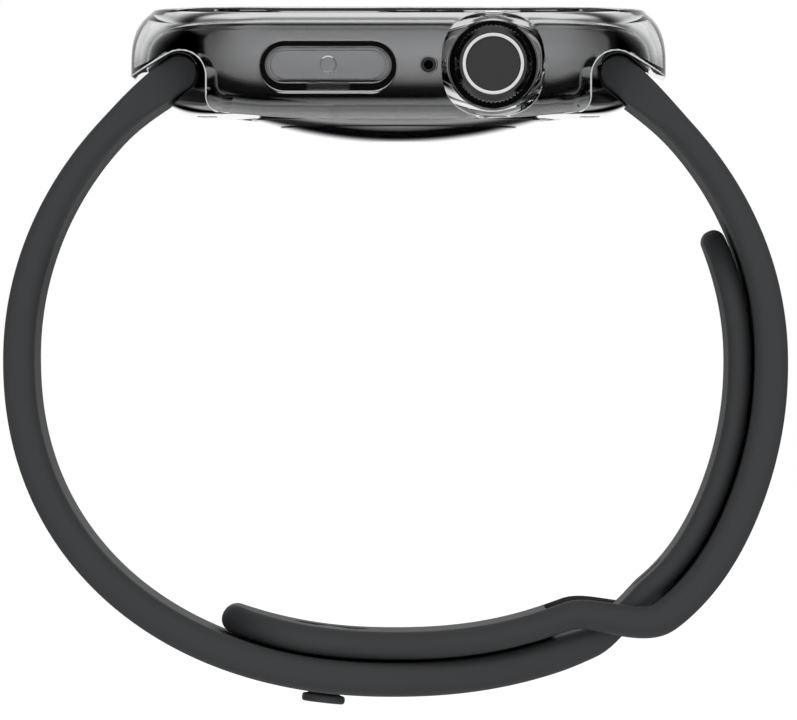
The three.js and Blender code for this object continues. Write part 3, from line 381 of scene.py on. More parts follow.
def combined(thing, tools, operation="DIFFERENCE"):
    """The object after an exact boolean with each tool in turn. The tools are used up."""
    for tool in tools:
        step = thing.modifiers.new("step", "BOOLEAN")
        step.object = tool
        step.operation = operation
        step.solver = "EXACT"
        depsgraph = bpy.context.evaluated_depsgraph_get()
        made = bpy.data.meshes.new_from_object(thing.evaluated_get(depsgraph))
        thing.modifiers.clear()
        old = thing.data
        thing.data = made
        bpy.data.meshes.remove(old)
        bpy.data.objects.remove(tool)
    return thing


def smooth_step(share):
    """A share held between 0 and 1, with soft ends: 3s^2 - 2s^3."""
    held = np.clip(share, 0, 1)
    return held * held * (3 - 2 * held)


def evenly(curve, count):
    """The same curve with count points evenly spaced along its length."""
    steps = np.linalg.norm(np.diff(curve, axis=0), axis=1)
    along = np.concatenate([[0], np.cumsum(steps)])
    places = np.linspace(0, along[-1], count)
    return np.stack([np.interp(places, along, axis) for axis in curve.T], axis=1)


# Plan of the watch: a rounded rectangle, with its corners in steps and its flats divided
CORNER_STEPS = 26
FLAT_STEPS = 14


def plan_weights(corner_steps=CORNER_STEPS, flat_steps=FLAT_STEPS):
    """Corner signs and directions, and weights that spread them over corners and flats."""
    count = corner_steps + 1
    quarter = np.repeat(np.arange(4), count)
    step = np.tile(np.arange(count), 4) / corner_steps
    angle = (quarter + step) * math.pi / 2
    sign_x = np.where((quarter == 0) | (quarter == 3), 1, -1)
    sign_y = np.where(quarter < 2, 1, -1)
    corners = np.eye(4 * count).reshape(4, count, 4 * count)
    share = (np.arange(1, flat_steps) / flat_steps)[:, None]
    weights = []
    for corner, following in zip(corners, np.roll(corners, -1, axis=0)):
        weights += [corner, corner[-1] + (following[0] - corner[-1]) * share]
    return sign_x, sign_y, angle, np.concatenate(weights)


PLAN = plan_weights()


def plan_rings(half_x, half_y, corner, height, plan=PLAN):
    """Rings of rounded rectangles: corner centres plus the corner radius times its direction."""
    sign_x, sign_y, angle, weights = plan
    half_x, half_y, corner, height = np.broadcast_arrays(
        *np.atleast_1d(half_x, half_y, corner, height)
    )
    x = sign_x * (half_x - corner)[:, None] + corner[:, None] * np.cos(angle)
    y = sign_y * (half_y - corner)[:, None] + corner[:, None] * np.sin(angle)
    z = np.broadcast_to(np.asarray(height, float)[:, None], (len(corner), len(weights)))
    return np.stack([x @ weights.T, y @ weights.T, z], axis=-1)


def body_rings(reach, height):
    """Rings of the body's plan, moved outward by a reach at each height."""
    return plan_rings(
        BODY_LENGTH / 2 + reach, BODY_WIDTH / 2 + reach, BODY_CORNER + reach, height,
    )


def body_side(grow, low=-1.0, high=1.0):
    """Reach and height up the body's side. A level of -1 is the back, 0 the waist, 1 the top.

    Below the waist the side is a quarter ellipse and above it a quarter superellipse:
    level^p + (1 - inset/shoulder)^p = 1."""
    fine = 400
    turn = np.linspace(-math.pi / 2, math.pi / 2, 2 * fine + 1)
    level = np.clip(np.sin(turn), low, high)
    power = np.where(level < 0, LOWER_POWER, UPPER_POWER)
    keep = (1 - np.abs(level) ** power) ** (1 / power)
    reach = grow - (SHOULDER + grow) * (1 - keep)
    below = WAIST_HEIGHT - BACK_HEIGHT + grow
    above = GLASS_HEIGHT - WAIST_HEIGHT + grow
    height = WAIST_HEIGHT + level * np.where(level < 0, below, above)
    curve = np.stack([reach, height], axis=1)
    different = np.concatenate([[True], np.any(np.abs(np.diff(curve, axis=0)) > 1e-9, axis=1)])
    return curve[different]


RIM_LEVEL = math.sin(RIM_ANGLE) ** (2 / UPPER_POWER)
RIM_HEIGHT = WAIST_HEIGHT + (GLASS_HEIGHT - WAIST_HEIGHT) * RIM_LEVEL
GLASS_LEDGE = RIM_HEIGHT - LEDGE_STEP
DISPLAY_LEDGE = GLASS_LEDGE - LEDGE_STEP
BODY_SIDE = BODY_WIDTH / 2
CAVITY_SIDE = BODY_SIDE - SIDE_WALL
CAVITY_END = BODY_LENGTH / 2 - END_WALL


def case_outer():
    """Reach and height up the case's outer form: a quarter ellipse, then the body's own side
    grown by the wall, then the lip's quarter ellipse over to its flat top."""
    lip_share = (LIP_SHOULDER - WAIST_HEIGHT) / (GLASS_HEIGHT - WAIST_HEIGHT + CASE_GROW)
    lower = np.linspace(math.pi / 2, 0, 60)
    turn = np.stack([
        CASE_GROW - CASE_TURN * (1 - np.cos(lower)),
        CASE_WAIST - (CASE_WAIST - CASE_BOTTOM) * np.sin(lower),
    ], axis=1)
    upper = body_side(CASE_GROW, low=0.0, high=lip_share)
    over = np.linspace(0, math.pi / 2, 20)[1:]
    lip = np.stack([
        upper[-1, 0] - LIP_ROUND * (1 - np.cos(over)),
        LIP_SHOULDER + (CASE_TOP - LIP_SHOULDER) * np.sin(over),
    ], axis=1)
    return np.concatenate([turn, upper, lip])


CASE_CURVE = case_outer()
BODY_CURVE = body_side(0.0)
HOLLOW_CURVE = body_side(CASE_GAP)


def side_depth(curve, x, z):
    """How far the skin with this side curve lies from the XZ plane, at each x and z."""
    reach = np.interp(z, curve[:, 1], curve[:, 0])
    corner = BODY_CORNER + reach
    past = np.clip(np.abs(x) - (BODY_LENGTH / 2 - BODY_CORNER), 0, corner)
    return BODY_WIDTH / 2 - BODY_CORNER + np.sqrt(corner ** 2 - past ** 2)


# Outlines in X and Z, anticlockwise, as points x 2
def pill(middle_x, middle_z, length, height, steps=16, flat_steps=10):
    """A pill: two half circles joined by straight runs, divided into short steps."""
    radius = height / 2
    reach = length / 2 - radius
    turn = np.linspace(-math.pi / 2, math.pi / 2, steps + 1)
    right = np.stack([reach + radius * np.cos(turn), radius * np.sin(turn)], axis=1)
    left = -right
    run = np.linspace(0, 1, flat_steps + 1)[1:-1, None]
    top = right[-1] + (left[0] - right[-1]) * run
    bottom = left[-1] + (right[0] - left[-1]) * run
    outline = np.concatenate([right, top, left, bottom])
    return outline + (middle_x, middle_z)


def circle(middle_x, middle_z, radius, steps=64):
    """A circle's points."""
    turn = np.arange(steps) * 2 * math.pi / steps
    return np.stack([
        middle_x + radius * np.cos(turn), middle_z + radius * np.sin(turn),
    ], axis=1)


def outline_normals(outline):
    """Unit normals to the outline, pointing out of it, from its neighbours on both sides."""
    ahead = np.roll(outline, -1, axis=0) - outline
    behind = outline - np.roll(outline, 1, axis=0)
    ahead /= np.linalg.norm(ahead, axis=1)[:, None]
    behind /= np.linalg.norm(behind, axis=1)[:, None]
    along = ahead + behind
    normal = np.stack([along[:, 1], -along[:, 0]], axis=1)
    return normal / np.linalg.norm(normal, axis=1)[:, None]


def at_depth(outline, y):
    """The points of an outline in X and Z, at one Y or at a Y for each."""
    return np.stack([outline[:, 0], np.broadcast_to(y, len(outline)), outline[:, 1]], axis=1)


def quarter_round(radius, steps=5):
    """A quarter circle from a wall into a face: how wide it still is, and how deep it has come."""
    turn = np.linspace(0, math.pi / 2, steps + 1)
    return radius * (1 - np.sin(turn)), radius * (1 - np.cos(turn))


def mouth_rings(outline, curve, side, fillet):
    """Rings of a cutter where it leaves a curved skin: its outline widens by a quarter circle
    as it comes up through the last stretch of depth, so the skin's edge is left rounded."""
    normal = outline_normals(outline)
    rings = []
    for widen, depth in zip(*quarter_round(fillet)):
        spot = outline + normal * widen
        skin = side_depth(curve, spot[:, 0], spot[:, 1])
        rings.append(at_depth(spot, side * (skin - depth)))
    far = rings[0].copy()
    far[:, 1] = side * (BODY_SIDE + CASE_WALL + 2 * OVERRUN)
    return [far] + rings


def side_cutter(outline, curve, side, fillet, inner):
    """A cutter through one side wall, from outside to an inner depth."""
    rings = mouth_rings(outline, curve, side, fillet)
    last = rings[-1].copy()
    last[:, 1] = side * inner
    return loft("cutter", np.array(rings + [last]))


def through_cutter(outline, curve, fillet, edge_slot=0):
    """A cutter along Y through both side walls. The faces of its rounded mouths can leave
    another material slot on what it cuts."""
    front = mouth_rings(outline, curve, -1, fillet)
    rear = mouth_rings(outline, curve, 1, fillet)
    cutter = loft("cutter", np.array(front + rear[::-1]))
    row = np.arange(len(cutter.data.polygons)) // len(outline)
    rows = 2 * len(front) - 1
    mouth = ((row > 0) & (row < len(front) - 1)) | ((row > len(front) - 1) & (row < rows - 1))
    slots = np.where(mouth, edge_slot, 0).astype(np.int32)
    for _ in range(edge_slot + 1):
        cutter.data.materials.append(None)
    cutter.data.polygons.foreach_set("material_index", slots)
    return cutter


def mirrored(outline):
    """The outline on the other side of the YZ plane, still anticlockwise."""
    return (outline * (-1, 1))[::-1]


def turned(name, profile, steps=96):
    """A solid of revolution round +Z from radius and height pairs, closed on its axis."""
    profile = np.asarray(profile, float)
    turn = np.arange(steps) * 2 * math.pi / steps
    solid = profile[0, 0] < 1e-6
    if solid:
        profile = profile[1:-1]
    x = profile[:, :1] * np.cos(turn)
    y = profile[:, :1] * np.sin(turn)
    z = np.broadcast_to(profile[:, 1:], x.shape)
    return loft(name, np.stack([x, y, z], axis=-1), closed_rows=not solid)


def rounded(profile, radius, steps=4):
    """A radius and height outline whose inner corners are rounded by arcs of one radius."""
    profile = [np.asarray(point, float) for point in profile]
    points = [profile[0]]
    for before, corner, after in zip(profile, profile[1:], profile[2:]):
        back = before - corner
        ahead = after - corner
        reach = min(radius, np.linalg.norm(back) / 2.1, np.linalg.norm(ahead) / 2.1)
        start = corner + back / np.linalg.norm(back) * reach
        end = corner + ahead / np.linalg.norm(ahead) * reach
        share = np.linspace(0, 1, steps + 1)[:, None]
        bend = (1 - share) ** 2 * start + 2 * share * (1 - share) * corner + share ** 2 * end
        points.extend(bend)
    points.append(profile[-1])
    return np.array(points)


def rod(radius, low, high, steps=96):
    """A plain cylinder round +Z, to be used up as a tool."""
    return turned("tool", [[0, low], [radius, low], [radius, high], [0, high]], steps)


def moved(thing, change):
    """The object with its points changed by a function of their x, y and z in metres."""
    mesh = thing.data
    spots = np.empty(len(mesh.vertices) * 3)
    mesh.vertices.foreach_get("co", spots)
    mesh.vertices.foreach_set("co", np.stack(change(*spots.reshape(-1, 3).T), axis=1).ravel())
    mesh.update()
    return thing


def toward_crown(thing, side_x, side_z):
    """Turns an object made round +Z so that its +Z points along -Y, at a place on the side."""
    return moved(thing, lambda x, y, z: (x + side_x * MM, -z, y + side_z * MM))


def turned_on_side(name, profile, steps, side_x, side_z):
    """A smooth solid of revolution round an axis along -Y, at a place on the side."""
    return smoothed(toward_crown(turned(name, profile, steps), side_x, side_z))


def ring_on_side(name, radii, heights, edge, steps, side_x, side_z):
    """A flat ring on the side: a rectangle with rounded corners, turned round the ring's axis."""
    inner, outer = radii
    low, high = heights
    middle = (inner + outer) / 2
    section = [
        [middle, low], [outer, low], [outer, high], [inner, high], [inner, low],
        [middle - POLE, low],
    ]
    return turned_on_side(name, rounded(section, edge, 3), steps, side_x, side_z)


# Watch body
def lug_channel():
    """The channel's outline: a half circle round the lug and a mouth that leads out and down."""
    radius = LUG_RADIUS + SLIDE_GAP
    outward = np.array([math.cos(LUG_ANGLE), -math.sin(LUG_ANGLE)])
    upward = np.array([math.sin(LUG_ANGLE), math.cos(LUG_ANGLE)])
    middle = np.array([LUG_X, LUG_Z])
    turn = np.linspace(0, math.pi, 33)[:, None]
    seat = middle + upward * np.cos(turn) * radius - outward * np.sin(turn) * radius
    run = np.linspace(0, LUG_MOUTH, 12)[1:, None]
    lower = middle - upward * radius + outward * run
    upper = middle + upward * radius + outward * run[::-1]
    return np.concatenate([seat, lower, upper])


def inset_block(inset, low, high):
    """A block with the body's plan, inset all round, between two heights."""
    return loft("cutter", body_rings(-inset, np.array([low, high])))


def release_block(name, side, clearance, low, high, edge=0.0):
    """A pill across the back behind a lug, with rounded upper and lower rims."""
    width = RELEASE_WIDTH / 2 + clearance
    length = RELEASE_LENGTH / 2 + clearance
    wide, deep = quarter_round(edge, 4)
    lower = np.stack([wide, low + deep], axis=1)
    upper = np.stack([wide, low + high - lower[:, 1]], axis=1)[::-1]
    rims = np.concatenate([lower, upper]) if edge else np.array([[0, low], [0, high]])
    plan = plan_weights(12, 4)
    rings = plan_rings(
        width - rims[:, 0], length - rims[:, 0], (width - rims[:, 0]) * 0.98, rims[:, 1], plan,
    )
    rings[..., 0] += side * RELEASE_X
    return loft(name, rings)


def watch_housing():
    """The body's side curve carried round its plan, hollowed and cut as the frame's part is."""
    curve = evenly(body_side(0.0, high=RIM_LEVEL), 70)
    body = loft("housing_shell", body_rings(curve[:, 0], curve[:, 1]))
    cavity = loft("cutter", plan_rings(
        CAVITY_END, CAVITY_SIDE, BODY_CORNER - SIDE_WALL,
        np.array([CAVITY_FLOOR, DISPLAY_LEDGE + OVERRUN]),
    ))
    tools = [
        cavity,
        inset_block(DISPLAY_INSET, DISPLAY_LEDGE, GLASS_HEIGHT + OVERRUN),
        inset_block(GLASS_SEAT_INSET, GLASS_LEDGE, GLASS_HEIGHT + OVERRUN),
        rod(BACK_HOLE, 0, BACK_HOLE_TOP),
        through_cutter(lug_channel(), BODY_CURVE, LUG_MOUTH_ROUND),
        through_cutter(mirrored(lug_channel()), BODY_CURVE, LUG_MOUTH_ROUND),
    ]
    button_well = pill(
        BUTTON_X, BUTTON_Z, BUTTON_LENGTH + 2 * SLIDE_GAP, BUTTON_HEIGHT + 2 * SLIDE_GAP,
    )
    button_floor = BODY_SIDE + BUTTON_PROUD - BUTTON_THICKNESS - BUTTON_TRAVEL - SLIDE_GAP
    for outline, fillet, inner in (
        (button_well, BUTTON_MOUTH_ROUND, button_floor),
        (circle(BUTTON_X, BUTTON_Z, POST_RADIUS + SLIDE_GAP, 32), SMALL_HOLE_ROUND, HOLE_END),
        (circle(CROWN_X, CROWN_Z, WELL_RADIUS, 96), WELL_ROUND, BODY_SIDE - WELL_DEPTH),
        (circle(CROWN_X, CROWN_Z, BUSHING_HOLE), SMALL_HOLE_ROUND, BUSHING_HOLE_END),
        (circle(MIC_X, MIC_Z, MIC_RADIUS, 40), MIC_ROUND, HOLE_END),
    ):
        tools.append(side_cutter(outline, BODY_CURVE, -1, fillet, inner))
    for side in (1, -1):
        tools.append(release_block("cutter", side, SLIDE_GAP, 0, BACK_HEIGHT + RELEASE_POCKET))
    for side in (-1, 1):
        slot = pill(side * SPEAKER_SLOT_X, SPEAKER_Z, SPEAKER_SLOT_LENGTH, SPEAKER_SLOT_HEIGHT)
        tools.append(side_cutter(slot, BODY_CURVE, 1, SPEAKER_ROUND, HOLE_END))
    return smoothed(combined(body, tools))


def front_crystal():
    """The glass: the body's curve above the rim, closed over a flat top, with a plug below."""
    curve = evenly(body_side(0.0, low=RIM_LEVEL), 40)
    curve[0, 1] += SEAT_GAP
    plug = -GLASS_SEAT_INSET - PLUG_GAP
    reach = np.concatenate([[plug, plug], curve[:, 0], curve[-1:, 0] - [GLASS_FLAT_INSET]])
    height = np.concatenate([
        [GLASS_LEDGE + PLUG_RISE, RIM_HEIGHT + SEAT_GAP], curve[:, 1], curve[-1:, 1],
    ])
    return smoothed(loft("front_glass", body_rings(reach, height)))


def back_ring():
    """The ring round the dome: its section turned round +Z, edges softened."""
    bore = DOME_RADIUS + DOME_GAP
    section = [
        [bore, RING_BOTTOM + RING_SEAT],
        [bore, RING_BOTTOM],
        [bore + DOME_GAP, RING_BOTTOM],
        [RING_RADIUS, RING_TOP - RING_EDGE],
        [RING_RADIUS, RING_TOP],
        [SPIGOT_RADIUS, RING_TOP],
        [SPIGOT_RADIUS, SPIGOT_TOP],
        [bore, SPIGOT_TOP],
    ]
    return smoothed(turned("back_ring", rounded(section, RING_ROUND, 3), 144))


def back_dome():
    """The sensor crystal: a sphere's cap with a flat middle, z = R - sqrt(R^2 - r^2) - drop."""
    radius = np.linspace(DOME_FLAT, DOME_RADIUS, 40)
    drop = DOME_SPHERE - math.sqrt(DOME_SPHERE ** 2 - DOME_FLAT ** 2)
    cap = np.stack([radius, DOME_SPHERE - np.sqrt(DOME_SPHERE ** 2 - radius ** 2) - drop], axis=1)
    flat = [[0, 0], [POLE, 0], [DOME_FLAT / 2, 0]]
    top = [[DOME_RADIUS, DOME_TOP], [0, DOME_TOP]]
    return smoothed(turned("back_dome", flat + cap.tolist() + top, 144))


# Crown
def crown_wheel():
    """A wheel whose rim is waved by cosine flutes. Its profile goes up the side, over a steep
    chamfer and into the face, with its corners rounded, and the waves fade along the chamfer."""
    steps = CROWN_FLUTES * 8
    turn = np.arange(steps) * 2 * math.pi / steps
    wave = (1 + np.cos(CROWN_FLUTES * turn)) / 2
    inner = CROWN_RING_RADIUS + CROWN_FACE_LAND
    profile = evenly(rounded([
        [CROWN_RADIUS - CROWN_BACK_CHAMFER, CROWN_BACK],
        [CROWN_RADIUS, CROWN_BACK + CROWN_BACK_CHAMFER],
        [CROWN_RADIUS, CROWN_FACE - CROWN_CHAMFER_DEPTH],
        [inner, CROWN_FACE],
        [inner - 0.04, CROWN_FACE],
    ], CROWN_EDGE_ROUND, 5), 60)
    radius, height = profile.T
    fade = np.minimum(height - CROWN_BACK, CROWN_FACE - height - FLUTE_END) / FLUTE_FADE
    depth = CROWN_FLUTE_DEPTH * smooth_step(fade)
    reach = radius[:, None] - depth[:, None] * wave
    rings = np.stack([
        reach * np.cos(turn), reach * np.sin(turn), np.broadcast_to(height[:, None], reach.shape),
    ], axis=-1)
    tools = [
        rod(CROWN_POCKET_RADIUS, CROWN_FACE - CROWN_RING_DEPTH, CROWN_FACE + OVERRUN, 128),
        rod(CROWN_BORE, 0, CROWN_BORE_END, 32),
    ]
    wheel = combined(loft("crown_wheel", rings), tools)
    return smoothed(toward_crown(wheel, CROWN_X, CROWN_Z))


def crown_bright_ring():
    """The ring let into the crown's face, its lips rounded."""
    return ring_on_side(
        "crown_bright_ring", (CROWN_RING_RADIUS - CROWN_RING_WIDTH, CROWN_RING_RADIUS),
        (CROWN_RING_LOW, CROWN_FACE), INLAY_EDGE, 128, CROWN_X, CROWN_Z,
    )


def crown_disc():
    """The disc inside the ring: nearly flat, a little crowned, with a rounded rim."""
    top = CROWN_FACE - SEAT_GAP / 2
    spread = np.linspace(POLE, CROWN_DISC_RADIUS - DISC_RIM, 12)
    drop = DISC_CROWNING * (spread / CROWN_DISC_RADIUS) ** 2
    crowned = np.stack([spread, top - drop], axis=1).tolist()
    rim = [
        [CROWN_DISC_RADIUS, top - DISC_RIM_DROP], [CROWN_DISC_RADIUS, CROWN_RING_LOW],
        [0, CROWN_RING_LOW],
    ]
    return turned_on_side("crown_disc", [[0, top]] + crowned + rim, 128, CROWN_X, CROWN_Z)


# Side button, under the flap
def side_button():
    """The key: a pill with a rounded rim and a post behind it."""
    face = BODY_SIDE + BUTTON_PROUD
    outline = pill(BUTTON_X, BUTTON_Z, BUTTON_LENGTH, BUTTON_HEIGHT)
    normal = outline_normals(outline)
    rings = []
    for widen, depth in zip(*quarter_round(BUTTON_EDGE, 6)):
        rings.append(at_depth(outline - normal * widen, depth - face))
    back = at_depth(outline, BUTTON_THICKNESS - face)
    key = loft("side_key_cap", np.array(rings + [back]))
    post = toward_crown(
        rod(POST_RADIUS, POST_END, face - POST_FOOT, 32), BUTTON_X, BUTTON_Z,
    )
    return smoothed(combined(key, [post], "UNION"))


# Clear case
def arch_outline():
    """Everything outside and below a line over the lug: a round arch with a sloping flank."""
    far = BODY_LENGTH / 2 + CASE_WALL + OVERRUN
    turn = np.linspace(math.pi / 2 - ARCH_SLOPE, math.pi, 28)
    arch = np.stack([
        ARCH_X + ARCH_RADIUS * np.cos(turn), ARCH_Z + ARCH_RADIUS * np.sin(turn),
    ], axis=1)
    inner = ARCH_X - ARCH_RADIUS
    knee = np.linspace(0, math.pi / 2, 12)
    foot = np.stack([
        ARCH_FOOT_X + (inner - ARCH_FOOT_X) * np.cos(knee),
        ARCH_KNEE_Z - (ARCH_KNEE_Z - ARCH_FOOT_Z) * np.sin(knee),
    ], axis=1)
    shoulder = arch[0]
    run = np.linspace(1, 0, 14)[:-1, None]
    flank_end = np.array([far, shoulder[1] - (far - shoulder[0]) * math.tan(ARCH_SLOPE)])
    flank = shoulder + (flank_end - shoulder) * run
    down = np.array([[ARCH_FOOT_X, -OVERRUN], [far, -OVERRUN]])
    return np.concatenate([arch, foot, down, flank])


def trim_cutter():
    """A prism below a shallow parabola that lifts the case's bottom edge toward the lugs."""
    far = BODY_LENGTH / 2 + OVERRUN
    half = BODY_SIDE + CASE_WALL + OVERRUN
    x = np.linspace(far, -far, 60)
    z = CASE_BOTTOM - SEAT_GAP + (TRIM_RISE + SEAT_GAP) * (x / ARCH_FOOT_X) ** 2
    outline = np.concatenate([np.stack([x, z], axis=1), [[-far, -OVERRUN], [far, -OVERRUN]]])
    return loft("cutter", np.array([at_depth(outline, y) for y in (-half, half)]))


def crown_cutter():
    """A round hole through the case's wall, wider on its outer skin than on its inner one."""
    narrow = circle(CROWN_X, CROWN_Z, CROWN_CUT_RADIUS, 128)
    turn = np.arange(128) * 2 * math.pi / 128
    widening = CROWN_CUT_BEVEL + CROWN_CUT_CORNER * np.sin(2 * turn) ** 2
    wide = narrow + np.stack([np.cos(turn), np.sin(turn)], axis=1) * widening[:, None]
    inner = side_depth(HOLLOW_CURVE, narrow[:, 0], narrow[:, 1]) - 0.05
    rings = mouth_rings(wide, CASE_CURVE, -1, CROWN_CUT_ROUND)
    for depth in (inner, inner - OVERRUN):
        rings.append(at_depth(narrow, -depth))
    return loft("cutter", np.array(rings))


def corner_arc(start, corner, end, radius, steps=5):
    """Points of a rounded corner between two neighbours, as a quadratic curve."""
    return rounded([start, corner, end], radius, steps)[1:-1]


def clear_shell():
    """The case's wall: one closed section carried round the body's plan, then cut."""
    outer = evenly(CASE_CURVE, 64)
    hollow = body_side(CASE_GAP)
    inside = hollow[(hollow[:, 0] > -BOTTOM_LIP_INSET) | (hollow[:, 1] > WAIST_HEIGHT)]
    inside = inside[(inside[:, 0] > -TOP_LIP_INSET) | (inside[:, 1] < WAIST_HEIGHT)]
    inside = evenly(inside, 64)[::-1]
    top_inner = [-TOP_LIP_INSET, inside[0, 1]]
    low_inner = [-BOTTOM_LIP_INSET, inside[-1, 1]]
    top = corner_arc(outer[-1], [-TOP_LIP_INSET, CASE_TOP], top_inner, LIP_EDGE)
    low = corner_arc(low_inner, [-BOTTOM_LIP_INSET, CASE_BOTTOM], outer[0], LIP_EDGE)
    section = np.concatenate([outer, top, inside, low])
    shell = loft("clear_shell", body_rings(section[:, 0], section[:, 1]), closed_rows=True)
    shell.data.materials.append(MATERIALS["clear_plastic"])
    # The second slot, taken by the arches' rounded mouths, is a painted highlight
    shell.data.materials.append(MATERIALS["clear_edge_highlight"])
    arch = arch_outline()
    groove = pill(BUTTON_X, GROOVE_Z, GROOVE_LENGTH, GROOVE_HEIGHT, *FLAP_STEPS)
    microphone = circle(MIC_X, MIC_Z, MIC_CASE_RADIUS, 48)
    speaker = pill(0, SPEAKER_Z, SPEAKER_CASE_LENGTH, SPEAKER_CASE_HEIGHT, 16, 20)
    tools = [
        through_cutter(arch, CASE_CURVE, CASE_MOUTH_ROUND, 1),
        through_cutter(mirrored(arch), CASE_CURVE, CASE_MOUTH_ROUND, 1),
        trim_cutter(),
        crown_cutter(),
        side_cutter(groove, CASE_CURVE, -1, CASE_MOUTH_ROUND, HOLE_END),
        side_cutter(microphone, CASE_CURVE, -1, MIC_CASE_ROUND, HOLE_END),
        side_cutter(speaker, CASE_CURVE, 1, SPEAKER_CASE_ROUND, HOLE_END),
    ]
    return smoothed(combined(shell, tools))


def skin_plate(name, outline, edge, lower, inner, spine):
    """A plate whose front follows the case's skin: rings run from its spine out to its rim,
    round the rim by a quarter circle and back along a straight side to its flat rear."""
    normal = outline_normals(outline)
    rim = outline - normal * edge
    spots = [(spine + (rim - spine) * share, 0.0) for share in (0.02, 0.25, 0.5, 0.75, 0.92)]
    for widen, depth in zip(*quarter_round(edge)):
        spots.append((outline - normal * widen, depth))
    rings = [
        at_depth(spot, depth - side_depth(CASE_CURVE, spot[:, 0], spot[:, 1]) + lower)
        for spot, depth in spots
    ]
    return loft(name, np.array(rings + [at_depth(outline, -inner)]))


def button_flap():
    """The flap in the groove: a pill plate, its bridge to the case and its round pusher."""
    inner = BODY_SIDE + CASE_GAP + CASE_WALL - FLAP_THICKNESS
    outline = pill(BUTTON_X, FLAP_Z, FLAP_LENGTH, FLAP_HEIGHT, *FLAP_STEPS)
    reach = (FLAP_LENGTH - FLAP_HEIGHT) / 2
    spine = np.stack([
        np.clip(outline[:, 0], BUTTON_X - reach, BUTTON_X + reach),
        np.full(len(outline), FLAP_Z),
    ], axis=1)
    flap = skin_plate("button_flap", outline, FLAP_EDGE, 0.0, inner, spine)
    bridge_low = GROOVE_Z - GROOVE_HEIGHT / 2 + BRIDGE_GAP
    bridge_height = FLAP_Z - bridge_low
    bridge_line = evenly(np.array([
        [-1, -1], [1, -1], [1, 1], [-1, 1], [-1, -1],
    ]) * (BRIDGE_WIDTH / 2, bridge_height / 2), 49)[:-1]
    bridge_line += (BUTTON_X, bridge_low + bridge_height / 2)
    middle = bridge_line.mean(axis=0)
    fused = inner + FUSE_DEPTH
    bridge = skin_plate("bridge", bridge_line, BRIDGE_EDGE, BRIDGE_SINK, fused, middle)
    tip = BODY_SIDE + BUTTON_PROUD + SLIDE_GAP
    narrow = PUSHER_RADIUS - PUSHER_TAPER
    wide = PUSHER_RADIUS + PUSHER_FLARE
    pusher = toward_crown(turned("pusher", rounded([
        [0, tip], [narrow, tip], [narrow, fused - PUSHER_FLARE_LENGTH], [wide, fused],
        [wide, inner + PUSHER_ROOT], [0, inner + PUSHER_ROOT],
    ], PUSHER_EDGE), 64), BUTTON_X, BUTTON_Z)
    return smoothed(combined(flap, [bridge, pusher], "UNION"))


def groove_shade_strip():
    """A thin near black strip on the floor of the flap's groove, painted shade for the groove's
    shadow: it runs between the groove's wall and the flap's rim, and follows the body's skin."""
    inset = 2 * GROOVE_SHADE_GAP
    spread = 2 * GROOVE_SHADE_RIM
    outer = pill(BUTTON_X, GROOVE_Z, GROOVE_LENGTH - inset, GROOVE_HEIGHT - inset, *FLAP_STEPS)
    inner = pill(BUTTON_X, FLAP_Z, FLAP_LENGTH + spread, FLAP_HEIGHT + spread, *FLAP_STEPS)
    rings = []
    for outline, rise in (
        (outer, GROOVE_SHADE_GAP), (outer, GROOVE_SHADE_RISE), (inner, GROOVE_SHADE_RISE), (inner, GROOVE_SHADE_GAP),
    ):
        skin = side_depth(BODY_CURVE, outline[:, 0], outline[:, 1])
        rings.append(at_depth(outline, -skin - rise))
    return smoothed(loft("groove_shade_strip", np.array(rings), closed_rows=True))


def crown_well_shade_ring():
    """A near black ring on the floor of the crown's well, painted shade for the well's shadow."""
    return ring_on_side(
        "crown_well_shade_ring", WELL_SHADE_RADII, WELL_SHADE_DEPTHS, DARK_RING_EDGE, 96, CROWN_X, CROWN_Z,
    )


def microphone_mesh():
    """A domed dark disc set back in the microphone's hole, turned."""
    radius = np.linspace(POLE, MESH_RADIUS, 8)
    rise = MESH_RISE * (1 - (radius / MIC_RADIUS) ** 2)
    dome = np.stack([radius, MESH_TOP + rise], axis=1).tolist()
    rear = [[MESH_RADIUS, MESH_TOP - MESH_THICKNESS], [0, MESH_TOP - MESH_THICKNESS]]
    profile = [[0, MESH_TOP + MESH_RISE]] + dome + rear
    return turned_on_side("microphone_mesh", profile, 48, MIC_X, MIC_Z)


def microphone_collar():
    """A flat dark ring round the microphone's mouth."""
    return ring_on_side(
        "microphone_collar", COLLAR_RADII, COLLAR_DEPTHS, DARK_RING_EDGE, 64, MIC_X, MIC_Z,
    )


# Strap
def loop_radius(angle):
    """The loop's oval, flatter below: (|cos/a|^p + |sin/b|^p)^(-1/p), p and b by half."""
    upper = np.sin(angle) > 0
    height = np.where(upper, LOOP_UPPER, LOOP_LOWER)
    power = np.where(upper, LOOP_UPPER_POWER, LOOP_LOWER_POWER)
    across = (np.abs(np.cos(angle)) / LOOP_HALF_WIDTH) ** power
    along = (np.abs(np.sin(angle)) / height) ** power
    return (across + along) ** (-1 / power)


def crossing_bulge(angle):
    """How far both halves bow outward where one passes through the other: a bell curve."""
    width = np.where(angle > BULGE_ANGLE, BULGE_ABOVE, BULGE_BELOW)
    return BULGE * np.exp(-((angle - BULGE_ANGLE) / width) ** 2)


def between(angle, ends):
    """The soft share of the way from the first angle to the second."""
    return smooth_step((angle - ends[0]) / (ends[1] - ends[0]))


